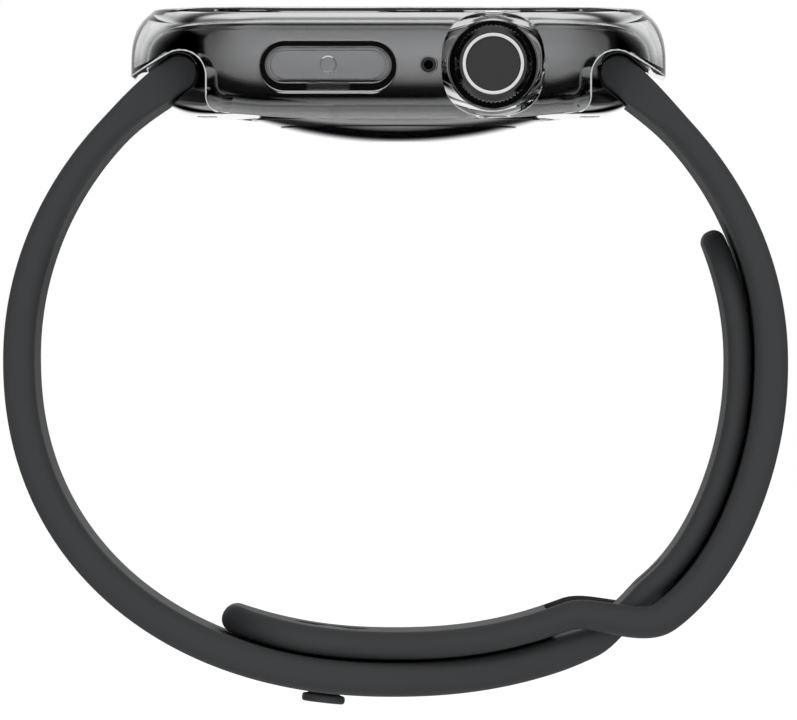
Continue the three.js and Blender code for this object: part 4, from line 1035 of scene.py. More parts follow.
class StrapHalf:
    """One half of the strap: its line round the loop, and its thickness and width along it."""

    def __init__(self, side, start, end, depth, end_thickness, width, side_thickness, tip_round):
        self.side = side
        self.start = start
        self.end = end
        self.depth = depth
        self.end_thickness = end_thickness
        self.width = width
        self.side_thickness = side_thickness
        self.tip_round = tip_round
        fine = np.linspace(start, end, 1500)
        steps = np.linalg.norm(np.diff(self.point(fine), axis=0), axis=1)
        self.angles = fine
        self.distances = np.concatenate([[0], np.cumsum(steps)])

    def line(self, angle):
        """The oval, moved in by the tuck and out by the bulge."""
        angle = np.atleast_1d(angle)
        radius = loop_radius(angle) - self.depth(angle) + crossing_bulge(angle)
        return np.stack([
            LOOP_X + radius * np.cos(angle), LOOP_Z + radius * np.sin(angle),
        ], axis=1)

    def point(self, angle):
        """The line, led to the lug's middle by a shift that fades with the square of its share."""
        angle = np.atleast_1d(angle)
        nose = np.array([self.side * LUG_X, LUG_Z])
        shift = nose - self.line(self.start)[0]
        fade = 1 - np.clip(np.abs(angle - self.start) / NOSE_BLEND, 0, 1)
        return self.line(angle) + shift * (fade ** 2)[:, None]

    def along(self, angle):
        """Unit direction along the line, by a small difference."""
        angle = np.atleast_1d(angle)
        little = math.radians(0.2) * np.sign(self.end - self.start)
        step = self.point(angle + little) - self.point(angle - little)
        return step / np.linalg.norm(step, axis=1)[:, None]

    def out(self, angle):
        """Unit direction away from the loop's middle, square to the line."""
        along = self.along(angle)
        return np.stack([-along[:, 1], along[:, 0]], axis=1) * self.side

    def thickness(self, angle):
        """Full at the lug, waisted behind it, then the half's own thickness."""
        distance = np.interp(
            np.abs(angle - self.start), np.abs(self.angles - self.start), self.distances,
        )
        neck = NECK_THICKNESS - 2 * LUG_RADIUS
        root = 2 * LUG_RADIUS + neck * smooth_step(distance / NECK_REACH)
        run = root + (self.side_thickness - NECK_THICKNESS) * smooth_step(
            (distance - NECK_REACH) / (SIDE_REACH - NECK_REACH)
        )
        first = self.end_thickness(np.array([self.start]))
        late = self.end_thickness(angle) - first
        settle = first - self.side_thickness
        return run + late + settle * smooth_step((distance - SIDE_REACH) / SIDE_REACH)


PIN_HALF = StrapHalf(
    side=1,
    start=math.atan2(LUG_Z - LOOP_Z, LUG_X - LOOP_X),
    end=PIN_TIP,
    depth=lambda angle: TUCKED_PIN_DEPTH * between(angle, PIN_CROSS),
    end_thickness=lambda angle: (
        PIN_THICKNESS + (TUCKED_PIN_THICKNESS - PIN_THICKNESS) * between(angle, SLOT)
    ),
    width=lambda angle: STRAP_WIDTH - PIN_TIP_NARROWING * between(angle, (SLOT[1], STUD_ANGLE)),
    side_thickness=PIN_THICKNESS,
    tip_round=PIN_TIP_ROUND,
)
TAIL_HALF = StrapHalf(
    side=-1,
    start=math.atan2(LUG_Z - LOOP_Z, -LUG_X - LOOP_X) - 2 * math.pi,
    end=TAIL_TIP,
    depth=lambda angle: TUCKED_TAIL_DEPTH * between(angle, TAIL_CROSS),
    end_thickness=lambda angle: (
        BOTTOM_THICKNESS + (TAIL_THICKNESS - BOTTOM_THICKNESS) * between(angle, TAIL_THIN)
    ),
    width=lambda angle: (
        STRAP_WIDTH + (TAIL_WIDTH - STRAP_WIDTH) * between(angle, (STUD_ANGLE, SLOT[1]))
    ),
    side_thickness=SIDE_THICKNESS,
    tip_round=TAIL_TIP_ROUND,
)


def strap_rings(middle, out, thickness, width, edge, corner_steps=7, flat_steps=12):
    """Cross-sections: rounded rectangles in the plane of the outward and Y directions, each a
    corner's centre plus the round's radius times its direction."""
    half_thick = thickness / 2
    half_wide = width / 2
    sign_out, sign_across, angle, weights = plan_weights(corner_steps, flat_steps)
    round_off = np.minimum(edge, np.minimum(half_thick, half_wide) * 0.96)[:, None]
    high = sign_out * (half_thick[:, None] - round_off) + round_off * np.cos(angle)
    across = sign_across * (half_wide[:, None] - round_off) + round_off * np.sin(angle)
    high = high @ weights.T
    across = across @ weights.T
    x = middle[:, :1] + out[:, :1] * high
    z = middle[:, 1:] + out[:, 1:] * high
    return np.stack([x, across, z], axis=-1)


def strap_skin(name, half):
    """A half's skin: the round of its lug, its run and the round of its tip.

    The lug's nose is a half circle, R cos t behind the start and 2 R sin t thick. The tip is a
    half circle in plan, and over its last half thickness it thins as a half circle too."""
    start = half.point(half.start)
    back = -half.along(half.start)
    turn = np.linspace(NOSE_START, math.pi / 2, 14)[:-1]
    nose_middle = start + back * (LUG_RADIUS * np.cos(turn))[:, None]
    nose_out = np.repeat(half.out(half.start), len(turn), axis=0)
    nose = strap_rings(
        nose_middle, nose_out, 2 * LUG_RADIUS * np.sin(turn),
        np.full(len(turn), float(STRAP_WIDTH)), np.full(len(turn), LUG_END_ROUND),
    )
    near_tip = half.distances[-1] - half.tip_round
    run_places = np.linspace(0, near_tip, 260)
    tip_share = np.sin(np.linspace(0, TIP_END, 26))[1:]
    places = np.concatenate([run_places, near_tip + half.tip_round * tip_share])
    angle = np.interp(places, half.distances, half.angles)
    share = np.clip((places - near_tip) / half.tip_round, 0, 1)
    inset = half.tip_round * (1 - np.sqrt(1 - share ** 2))
    thickness = half.thickness(angle)
    left = half.tip_round * (1 - share) / (thickness / 2)
    close = np.where(left < 1, np.sqrt(np.clip(1 - (1 - left) ** 2, 0, 1)), 1)
    edge = LUG_END_ROUND + (EDGE_ROUND - LUG_END_ROUND) * smooth_step(
        (places - LUG_RADIUS) / NECK_REACH
    )
    body = strap_rings(
        half.point(angle), half.out(angle), thickness * close,
        half.width(angle) - 2 * inset, edge,
    )
    return loft(name, np.concatenate([nose, body]))


def hole_rings(faces, reach, fillet):
    """Radius and height pairs of a strap hole's cutter, which widens at both faces."""
    low, high = faces
    wide, deep = quarter_round(fillet, 4)
    lower = np.stack([HOLE_RADIUS + wide, low + deep], axis=1)
    upper = np.stack([HOLE_RADIUS + wide, high - deep], axis=1)[::-1]
    far = HOLE_RADIUS + fillet
    return np.concatenate([
        [[0, -reach], [far, -reach]], lower, upper, [[far, reach], [0, reach]],
    ])


def across_strap(thing, half, angle):
    """Moves an object made round +Z so that it stands on the strap's middle line, square to it."""
    middle = half.point(angle)[0]
    out = half.out(angle)[0]
    return moved(thing, lambda x, y, z: (
        x * out[1] + z * out[0] + middle[0] * MM, y, -x * out[0] + z * out[1] + middle[1] * MM,
    ))


def turned_at_stud(name, profile, steps):
    """A solid of revolution on the stud's axis, with heights counted from the pin half."""
    return across_strap(turned(name, profile, steps), PIN_HALF, STUD_ANGLE)


def slot_cutter():
    """The slot: a rounded rectangle in strap length and Y, carried through the thickness and
    widened by a quarter circle at both faces."""
    ends = np.interp(np.sort(SLOT), np.sort(PIN_HALF.angles), PIN_HALF.distances[::-1])
    half_long = abs(ends[1] - ends[0]) / 2
    face = PIN_HALF.thickness(np.array([(SLOT[0] + SLOT[1]) / 2]))[0] / 2
    wide, deep = quarter_round(SLOT_EDGE)
    heights = np.concatenate([
        [-SLOT_CUT_DEPTH], -face + deep, (face - deep)[::-1], [SLOT_CUT_DEPTH],
    ])
    widen = np.concatenate([[SLOT_EDGE], wide, wide[::-1], [SLOT_EDGE]])
    flat = plan_rings(
        half_long + widen, SLOT_WIDTH / 2 + widen, SLOT_CORNER + widen, heights,
        plan_weights(8, 14),
    )
    place = ends.mean() + flat[..., 0]
    angle = np.interp(place.ravel(), PIN_HALF.distances, PIN_HALF.angles)
    spot = PIN_HALF.point(angle) + PIN_HALF.out(angle) * flat[..., 2].reshape(-1, 1)
    return loft("cutter", at_depth(spot, flat[..., 1].ravel()).reshape(flat.shape))


def nose_pocket(half):
    """The pocket in the lug's nose that holds its catch and core: a plain block."""
    nose = half.point(half.start)[0]
    along = half.along(half.start)[0]
    out = half.out(half.start)[0]
    front = -2 * LUG_RADIUS
    catch_front = -math.sqrt(LUG_RADIUS ** 2 - (CATCH_HEIGHT / 2) ** 2)
    back = catch_front + CATCH_DEPTH + SOFT_GAP + CORE_DEPTH + SOFT_GAP
    high = CATCH_HEIGHT / 2 + SOFT_GAP
    corners = np.array([[front, -high], [back, -high], [back, high], [front, high]])
    spots = nose + along * corners[:, :1] + out * corners[:, 1:]
    wide = CATCH_WIDTH / 2 + SOFT_GAP
    return loft("cutter", np.array([at_depth(spots, y) for y in (-wide, wide)]))


BASE_LOW = -TUCKED_PIN_THICKNESS / 2 + SEAT_GAP
BASE_HIGH = BASE_LOW + STUD_BASE_THICKNESS


def strap_pin_half():
    """The half with the slot and the stud: its skin less the slot, the lug's pocket, the stud's
    hole and the recess of the base plate."""
    skin = strap_skin("strap_slot_half", PIN_HALF)
    face = TUCKED_PIN_THICKNESS / 2
    through = turned_at_stud("cutter", hole_rings((-face, face), OVERRUN, STUD_HOLE_EDGE), 48)
    wide = STUD_BASE + SOFT_GAP
    recess_top = BASE_HIGH + SOFT_GAP
    recess = turned_at_stud("cutter", [
        [0, -OVERRUN], [wide + BASE_EDGE, -OVERRUN], [wide + BASE_EDGE, -face],
        [wide, -face + BASE_EDGE], [wide, recess_top], [0, recess_top],
    ], 72)
    return smoothed(combined(skin, [slot_cutter(), nose_pocket(PIN_HALF), through, recess]))


def strap_tail_half():
    """The half with the holes. The stud stands in one, so that one shares the stud's axis."""
    skin = strap_skin("strap_hole_half", TAIL_HALF)
    step = HOLE_PITCH / loop_radius(np.array([STUD_ANGLE]))[0]
    tools = [nose_pocket(TAIL_HALF)]
    for index in range(-HOLES_BEFORE, HOLES_AFTER + 1):
        if index == 0:
            low = TUCKED_PIN_DEPTH - BOTTOM_THICKNESS / 2
            faces = (low, low + BOTTOM_THICKNESS)
            cutter = hole_rings(faces, TUCKED_PIN_DEPTH + OVERRUN, HOLE_EDGE)
            cutter[:2, 1] = 0
            tools.append(turned_at_stud("cutter", cutter, 48))
            continue
        angle = STUD_ANGLE + step * index
        face = TAIL_HALF.thickness(np.array([angle]))[0] / 2
        cutter = turned("cutter", hole_rings((-face, face), OVERRUN, HOLE_EDGE), 48)
        tools.append(across_strap(cutter, TAIL_HALF, angle))
    return smoothed(combined(skin, tools))


def lug_shade_strip(side, end, name):
    """A near black strip round the nose of a lug, beside its catch, painted shade that darkens the gap
    between lug and channel: a crescent between the lug's round and a share of its play in the channel,
    carried along Y."""
    inward = np.array([-math.cos(LUG_ANGLE), math.sin(LUG_ANGLE)])
    upward = np.array([math.sin(LUG_ANGLE), math.cos(LUG_ANGLE)])
    turn = np.linspace(-LUG_SHADE_REACH, LUG_SHADE_REACH, 25)[:, None]
    ray = inward * np.cos(turn) + upward * np.sin(turn)
    outer = ray * (LUG_RADIUS + SLIDE_GAP * LUG_SHADE_FILL)
    inner = ray[::-1] * (LUG_RADIUS - LUG_SHADE_SINK)
    outline = np.concatenate([outer, inner]) + np.array([LUG_X, LUG_Z])
    if side < 0:
        outline = mirrored(outline)
    places = (end * LUG_SHADE_PLACE - LUG_SHADE_LENGTH / 2, end * LUG_SHADE_PLACE + LUG_SHADE_LENGTH / 2)
    return loft(name, np.array([at_depth(outline, place) for place in places]))


def clasp_stud():
    """The stud: a neck and a mushroom head with soft rims, turned."""
    face = TUCKED_PIN_DEPTH + BOTTOM_THICKNESS / 2
    foot = BASE_HIGH + SOFT_GAP
    low = face + SOFT_GAP
    high = face + STUD_RISE
    profile = rounded([
        [0, foot], [STUD_NECK, foot], [STUD_NECK, low], [STUD_HEAD, low + 0.05],
        [STUD_HEAD, high], [0, high],
    ], STUD_EDGE, 6)
    return smoothed(turned_at_stud("clasp_peg", profile, 64), CLASP_CREASE)


def clasp_base():
    """The stud's base plate: a disc with rounded rims."""
    profile = rounded([
        [0, BASE_LOW], [STUD_BASE, BASE_LOW], [STUD_BASE, BASE_HIGH], [0, BASE_HIGH],
    ], BASE_EDGE, 5)
    return smoothed(turned_at_stud("clasp_plate", profile, 96), CLASP_CREASE)


# Materials
WHITE = (1, 1, 1, 1)
GRAIN_SHARE = 0.45
BUMP_DISTANCE = 0.00002


def new_group(name, inputs, outputs):
    """An empty shader node group with number or colour sockets, and its two end nodes."""
    group = bpy.data.node_groups.new(name, "ShaderNodeTree")
    for label, kind, value in inputs:
        socket = group.interface.new_socket(label, in_out="INPUT", socket_type=kind)
        socket.default_value = value
    for label, kind in outputs:
        group.interface.new_socket(label, in_out="OUTPUT", socket_type=kind)
    start = group.nodes.new("NodeGroupInput")
    end = group.nodes.new("NodeGroupOutput")
    return group, start, end


def add_node(tree, kind, links=None, **settings):
    """A node with its settings, and links or values for its inputs by name or number."""
    node = tree.nodes.new(kind)
    for key, value in settings.items():
        setattr(node, key, value)
    for key, value in (links or {}).items():
        socket = node.inputs[key]
        if isinstance(value, bpy.types.NodeSocket):
            tree.links.new(value, socket)
        else:
            socket.default_value = value
    return node


def maths(tree, operation, first, second=0.0):
    """The output of a maths node."""
    node = add_node(tree, "ShaderNodeMath", {0: first, 1: second}, operation=operation)
    return node.outputs[0]


def ramped(tree, value, low, high, to_low=0.0, to_high=1.0):
    """A value mapped softly from one range to another, and held at both ends."""
    node = add_node(
        tree, "ShaderNodeMapRange",
        {"Value": value, "From Min": low, "From Max": high, "To Min": to_low, "To Max": to_high},
        interpolation_type="SMOOTHSTEP",
    )
    return node.outputs["Result"]


def noise(tree, scale, detail, roughness=0.5):
    """A noise on the piece's own coordinates."""
    place = add_node(tree, "ShaderNodeTexCoord").outputs["Object"]
    return add_node(tree, "ShaderNodeTexNoise", {
        "Vector": place, "Scale": scale, "Detail": detail, "Roughness": roughness,
    }).outputs[0]


def swung(tree, value, amount):
    """How far a noise swings from its middle, times an amount."""
    return maths(tree, "MULTIPLY", maths(tree, "SUBTRACT", value, 0.5), amount)


def micro_grain_group():
    """Fine grain over a broader drift: a roughness and a height."""
    group, start, end = new_group("micro_grain", [
        ("Grain Scale", "NodeSocketFloat", 4000.0),
        ("Drift Scale", "NodeSocketFloat", 120.0),
        ("Roughness", "NodeSocketFloat", 0.5),
        ("Spread", "NodeSocketFloat", 0.1),
    ], [("Roughness", "NodeSocketFloat"), ("Height", "NodeSocketFloat")])
    grain = noise(group, start.outputs["Grain Scale"], 3.0)
    drift = noise(group, start.outputs["Drift Scale"], 4.0)
    mixed = maths(
        group, "ADD", maths(group, "MULTIPLY", grain, GRAIN_SHARE),
        maths(group, "MULTIPLY", drift, 1 - GRAIN_SHARE),
    )
    swing = swung(group, mixed, start.outputs["Spread"])
    group.links.new(maths(group, "ADD", start.outputs["Roughness"], swing), end.inputs["Roughness"])
    group.links.new(grain, end.inputs["Height"])
    return group


def tone_drift_group():
    """A colour that drifts a little lighter and darker in broad patches."""
    group, start, end = new_group("tone_drift", [
        ("Color", "NodeSocketColor", (0.5, 0.5, 0.5, 1.0)),
        ("Scale", "NodeSocketFloat", 80.0),
        ("Amount", "NodeSocketFloat", 0.1),
    ], [("Color", "NodeSocketColor")])
    swing = swung(group, noise(group, start.outputs["Scale"], 5.0, 0.6), start.outputs["Amount"])
    scaled = add_node(group, "ShaderNodeVectorMath", {
        0: start.outputs["Color"], "Scale": maths(group, "ADD", swing, 1.0),
    }, operation="SCALE")
    group.links.new(scaled.outputs[0], end.inputs["Color"])
    return group


MICRO_GRAIN = micro_grain_group()
TONE_DRIFT = tone_drift_group()


def bare_material(name):
    """A material with only an output in its tree."""
    material = bpy.data.materials.new(name)
    material.use_nodes = True
    tree = material.node_tree
    tree.nodes.clear()
    return material, tree, tree.nodes.new("ShaderNodeOutputMaterial")


def mixed_shader(tree, mask, first, second):
    """A mix of two shaders by a mask."""
    return add_node(tree, "ShaderNodeMixShader", {0: mask, 1: first, 2: second}).outputs[0]


def finish_material(
    name, color, roughness, metallic=0.0, grain=4000.0, drift=120.0, spread=0.08,
    tone=0.1, bump=0.0, **sockets,
):
    """A material from its colour and roughness, both drifting over the surface, and a grain.

    Other sockets of the shader are named with an underscore for each space."""
    material, tree, output = bare_material(name)
    constants = {label.replace("_", " "): value for label, value in sockets.items()}
    surface = add_node(tree, "ShaderNodeBsdfPrincipled", {"Metallic": metallic, **constants})
    fine = add_node(tree, "ShaderNodeGroup", {
        "Grain Scale": grain, "Drift Scale": drift, "Roughness": roughness, "Spread": spread,
    }, node_tree=MICRO_GRAIN)
    shade = add_node(tree, "ShaderNodeGroup", {
        "Color": (*color, 1.0), "Scale": drift, "Amount": tone,
    }, node_tree=TONE_DRIFT)
    tree.links.new(fine.outputs["Roughness"], surface.inputs["Roughness"])
    tree.links.new(shade.outputs["Color"], surface.inputs["Base Color"])
    if bump:
        relief = add_node(tree, "ShaderNodeBump", {
            "Height": fine.outputs["Height"], "Strength": bump, "Distance": BUMP_DISTANCE,
        })
        tree.links.new(relief.outputs["Normal"], surface.inputs["Normal"])
    tree.links.new(surface.outputs[0], output.inputs["Surface"])
    return material


def node_of(tree, kind):
    """The only node of its kind in a tree."""
    return next(node for node in tree.nodes if node.type == kind)


def clear_material():
    """Clear moulded plastic: glass that lets shadow and diffuse rays straight through."""
    material = finish_material(
        "clear_plastic", (0.985, 0.99, 0.992), 0.0, spread=0.0, tone=0.01, drift=60.0,
        IOR=1.49, Transmission_Weight=1.0, Specular_Tint=(0.3, 0.3, 0.3, 1.0),
    )
    tree = material.node_tree
    path = tree.nodes.new("ShaderNodeLightPath").outputs
    passing = maths(tree, "MAXIMUM", path["Is Shadow Ray"], path["Is Diffuse Ray"])
    see_through = add_node(tree, "ShaderNodeBsdfTransparent", {"Color": (0.98, 0.985, 0.985, 1)})
    plastic = node_of(tree, "BSDF_PRINCIPLED").outputs[0]
    mixed = mixed_shader(tree, passing, plastic, see_through.outputs[0])
    tree.links.new(mixed, node_of(tree, "OUTPUT_MATERIAL").inputs["Surface"])
    return material


def board_material():
    """A circuit board: green solder mask with copper tracks under it, from stretched waves."""
    material = finish_material("circuit_board", (0.012, 0.06, 0.03), 0.4, drift=900.0, tone=0.5)
    tree = material.node_tree
    surface = node_of(tree, "BSDF_PRINCIPLED")
    shade = surface.inputs["Base Color"].links[0].from_socket
    place = add_node(tree, "ShaderNodeTexCoord").outputs["Object"]
    tracks = add_node(tree, "ShaderNodeTexWave", {
        "Vector": place, "Scale": 700.0, "Distortion": 3.0, "Detail": 1.0,
    })
    mixed = add_node(tree, "ShaderNodeMix", {
        "Factor": ramped(tree, tracks.outputs["Fac"], 0.8, 0.9), 6: shade,
        7: (0.03, 0.13, 0.06, 1.0),
    }, data_type="RGBA")
    tree.links.new(mixed.outputs[2], surface.inputs["Base Color"])
    return material


# Each slot of the record, then the finishes of single pieces: the material's name, colour,
# roughness and other values
FINISHES = {
    "polished_metal": (
        "polished_graphite", (0.25, 0.25, 0.254), 0.002,
        {"metallic": 1.0, "drift": 90.0, "spread": 0.001, "tone": 0.03},
    ),
    "screen_glass": (
        "screen_glass", (0.004, 0.004, 0.005), 0.03, {"spread": 0.03, "Coat_Weight": 0.3},
    ),
    "back_ceramic": (
        "back_ceramic", (0.035, 0.035, 0.038), 0.12, {"spread": 0.06, "Coat_Weight": 0.5},
    ),
    "back_crystal": (
        "back_crystal", (0.006, 0.006, 0.008), 0.04, {"spread": 0.03, "Coat_Weight": 0.3},
    ),
    "strap_rubber": (
        "strap_rubber", (0.0385, 0.0405, 0.0425), 0.6,
        {"grain": 5200.0, "drift": 70.0, "spread": 0.1, "bump": 0.25, "Specular_IOR_Level": 0.28},
    ),
    "stud_metal": ("stud_satin", (0.043, 0.0445, 0.047), 0.42, {"grain": 6000.0, "bump": 0.08}),
    "bright_ring": ("bright_ring", (0.86, 0.86, 0.86), 0.28, {"metallic": 1.0, "grain": 6000.0}),
    "crown_face": (
        "crown_disc", (0.033, 0.033, 0.033), 0.35,
        {"grain": 5000.0, "bump": 0.03, "Specular_IOR_Level": 0.2},
    ),
    "seal": ("seal_rubber", (0.008, 0.008, 0.008), 0.7, {}),
    "copper": ("copper_winding", (0.45, 0.16, 0.07), 0.35, {"metallic": 1.0, "grain": 9000.0}),
    "battery_foil": (
        "battery_foil", (0.2, 0.2, 0.21), 0.42, {"metallic": 0.8, "grain": 700.0, "bump": 0.2},
    ),
    "steel": ("machined_steel", (0.38, 0.39, 0.4), 0.3, {"metallic": 1.0, "grain": 8000.0}),
    "dark_plastic": ("dark_plastic", (0.018, 0.018, 0.02), 0.5, {"bump": 0.1}),
    # A darker copy of the polished graphite for the crown: painted shade for the crown sitting in its
    # well
    "crown_graphite_shaded": ("crown_graphite_shaded", (0.06, 0.06, 0.062), 0.12, {"metallic": 1.0, "spread": 0.02}),
    # Near black: painted shade on the groove's strip, the crown well's ring and the lug strips, and
    # the microphone mesh's own colour
    "deep_black": (
        "deep_black_shade_and_mesh", (0.003, 0.003, 0.003), 0.8, {"Specular_IOR_Level": 0.05},
    ),
    # A whitish, half clear finish on the rounded mouths of the arches over the lugs: a painted
    # highlight for the bright lines along those edges
    "clear_edge_highlight": (
        "clear_plastic_painted_highlight", (0.8, 0.81, 0.82), 0.3, {"tone": 0.04, "Transmission_Weight": 0.25},
    ),
}
MATERIALS = {
    slot: finish_material(name, color, roughness, **values)
    for slot, (name, color, roughness, values) in FINISHES.items()
}
MATERIALS["clear_plastic"] = clear_material()
MATERIALS["circuit_board"] = board_material()


# World: white to the camera, even to matt surfaces, and a painted studio to mirrors. Its panels
# are runs of places in degrees and their levels
FRONT_BY_ELEVATION = [
    (-66, 0.2), (-54, 0.27), (-45, 0.4), (-34, 0.6), (-21, 0.72), (0, 0.82), (9, 0.95),
    (16, 0.98), (30, 0.94), (54, 0.82), (72, 0.72), (80, 0.6), (90, 0.45),
]
FRONT_BY_SIDE = [
    (0, 1.0), (18, 0.89), (26, 0.86), (33, 0.77), (40, 0.68), (48, 0.56), (56, 0.43), (64, 0.33),
]
FRONT_EDGE = (60.0, 66.0, 1.0, 0.0)
FRONT_RIGHT_STRETCH = 0.78
FRONT_EDGE_CURVE = 0.0092
FRONT_LEVEL_CURVE = 2.27e-6
BACKDROP_BY_AZIMUTH = [
    (110, 0.0), (118, 0.02), (126, 0.07), (134, 0.18), (139, 0.32), (145, 0.52), (150, 0.7),
    (158, 0.8), (166, 1.0),
]
STRIP_BY_ELEVATION = [
    (-72, 0.0), (-60, 0.2), (-50, 0.6), (-42, 1.0), (-32, 1.0), (-29, 0.5), (-25, 0.0),
]
# The panels' soft edges: from and to, in degrees or in the share that looks toward -Y, and the
# levels on both sides where they aren't 0 and 1
FRONT_TOWARD = (0.45, 0.74)
FRONT_LOW_EDGE = (-28.0, -8.0)
OUTSIDE_EDGE = (62.0, 68.0)
TOP_AZIMUTH = (126.0, 148.0, 0.15, 0.62)
TOP_LOW_EDGE = (44.0, 51.0)
TOP_HIGH_EDGE = (63.0, 73.0, 1.0, 0.25)
BACKDROP_LOW_EDGE = (-8.0, 10.0)
BACKDROP_HIGH_EDGE = (28.0, 42.0, 1.0, 0.1)
BACKDROP_FOOT_AZIMUTH = (166.0, 174.0)
BACKDROP_FOOT_EDGE = (-17.0, -6.0)
BELOW_TOWARD = (0.02, 0.22, 1.0, 0.0)
BELOW_EDGE = (-62.0, -40.0, 1.0, 0.0)
BELOW_LEVEL = 0.62
STRIP_AZIMUTH = (158.0, 166.0)
FILL_AZIMUTH = ((95.0, 115.0), (160.0, 168.0))
FILL_ELEVATION = ((-62.0, -40.0), (-17.0, -10.0))
FILL_LEVEL = 0.2
HORIZON_HEIGHT = (12.0, 28.0, 1.0, 0.16)
HORIZON_AZIMUTH = (125.0, 165.0, 0.08, 1.0)
FLANK_AZIMUTH = ((118.0, 130.0), (158.0, 166.0))
FLANK_ELEVATION = ((15.0, 23.0), (36.0, 44.0))
FLANK_LEVEL = 0.75


def profile_of(tree, value, low, high, stops):
    """A value looked up on a run of straight steps, given as pairs of place and level."""
    place = add_node(tree, "ShaderNodeMapRange", {
        "Value": value, "From Min": low, "From Max": high, "To Min": 0.0, "To Max": 1.0,
    }).outputs["Result"]
    ramp = add_node(tree, "ShaderNodeValToRGB", {0: place})
    while len(ramp.color_ramp.elements) < len(stops):
        ramp.color_ramp.elements.new(0.5)
    for index, (spot, level) in enumerate(stops):
        ramp.color_ramp.elements[index].position = (spot - low) / (high - low)
    for element, (spot, level) in zip(ramp.color_ramp.elements, stops):
        element.color = (level, level, level, 1.0)
    return ramp.outputs["Color"]


def product(tree, *values):
    """Values multiplied together."""
    result = values[0]
    for value in values[1:]:
        result = maths(tree, "MULTIPLY", result, value)
    return result


def between_edges(tree, value, rise, fall):
    """A soft window: it rises over one run of the value and falls over a later one."""
    return product(tree, ramped(tree, value, *rise), ramped(tree, value, *fall, 1.0, 0.0))


def seen_in_mirrors(tree):
    """The panels of the studio: a soft one in front that narrows upward, a backdrop behind, a top
    light over it, a strip below it, and weaker light from the floor and from low at the sides."""
    direction = add_node(tree, "ShaderNodeTexCoord").outputs["Generated"]
    parts = add_node(tree, "ShaderNodeSeparateXYZ", {0: direction}).outputs
    toward = maths(tree, "MULTIPLY", parts[1], -1.0)
    degree = 180 / math.pi
    turn = maths(tree, "MULTIPLY", maths(tree, "ARCTAN2", parts[0], toward), degree)
    azimuth = maths(tree, "ABSOLUTE", turn)
    elevation = maths(tree, "MULTIPLY", maths(tree, "ARCSINE", parts[2]), degree)
    leftward = maths(tree, "MULTIPLY", turn, -1.0)
    rightward = maths(tree, "MULTIPLY", turn, FRONT_RIGHT_STRETCH)
    aside = maths(tree, "MAXIMUM", rightward, leftward)
    raised = maths(tree, "MAXIMUM", elevation, 0.0)
    square = maths(tree, "MULTIPLY", raised, raised)
    from_edge = maths(tree, "SUBTRACT", aside, product(tree, square, FRONT_EDGE_CURVE))
    spread = maths(tree, "SUBTRACT", aside, product(tree, square, square, FRONT_LEVEL_CURVE))
    outside = ramped(tree, from_edge, *OUTSIDE_EDGE)
    full_front = maths(
        tree, "MAXIMUM", ramped(tree, toward, *FRONT_TOWARD),
        ramped(tree, elevation, *FRONT_LOW_EDGE),
    )
    backdrop_foot = product(
        tree, ramped(tree, azimuth, *BACKDROP_FOOT_AZIMUTH),
        ramped(tree, elevation, *BACKDROP_FOOT_EDGE),
    )
    lights = [
        product(
            tree, profile_of(tree, elevation, -90.0, 90.0, FRONT_BY_ELEVATION),
            profile_of(tree, spread, 0.0, 90.0, FRONT_BY_SIDE),
            ramped(tree, from_edge, *FRONT_EDGE), full_front,
        ),
        product(
            tree, ramped(tree, azimuth, *TOP_AZIMUTH), ramped(tree, elevation, *TOP_LOW_EDGE),
            ramped(tree, elevation, *TOP_HIGH_EDGE), outside,
        ),
        product(
            tree, profile_of(tree, azimuth, 90.0, 180.0, BACKDROP_BY_AZIMUTH),
            maths(tree, "MAXIMUM", ramped(tree, elevation, *BACKDROP_LOW_EDGE), backdrop_foot),
            ramped(tree, elevation, *BACKDROP_HIGH_EDGE), outside,
        ),
        product(
            tree, ramped(tree, toward, *BELOW_TOWARD), BELOW_LEVEL,
            ramped(tree, elevation, *BELOW_EDGE),
        ),
        product(
            tree, ramped(tree, azimuth, *STRIP_AZIMUTH),
            profile_of(tree, elevation, -90.0, 0.0, STRIP_BY_ELEVATION),
        ),
        product(
            tree, between_edges(tree, azimuth, *FILL_AZIMUTH),
            between_edges(tree, elevation, *FILL_ELEVATION), FILL_LEVEL,
        ),
    ]
    studio = lights[0]
    for light in lights[1:]:
        studio = maths(tree, "ADD", studio, light)
    return studio, azimuth, elevation


def seen_through_plastic(tree, azimuth, elevation):
    """A white horizon behind that darkens upward and to the sides, and a flank on either side."""
    horizon = product(
        tree, ramped(tree, elevation, *HORIZON_HEIGHT), ramped(tree, azimuth, *HORIZON_AZIMUTH),
    )
    flank = product(
        tree, between_edges(tree, azimuth, *FLANK_AZIMUTH),
        between_edges(tree, elevation, *FLANK_ELEVATION), FLANK_LEVEL,
    )
    return maths(tree, "MAXIMUM", horizon, flank)


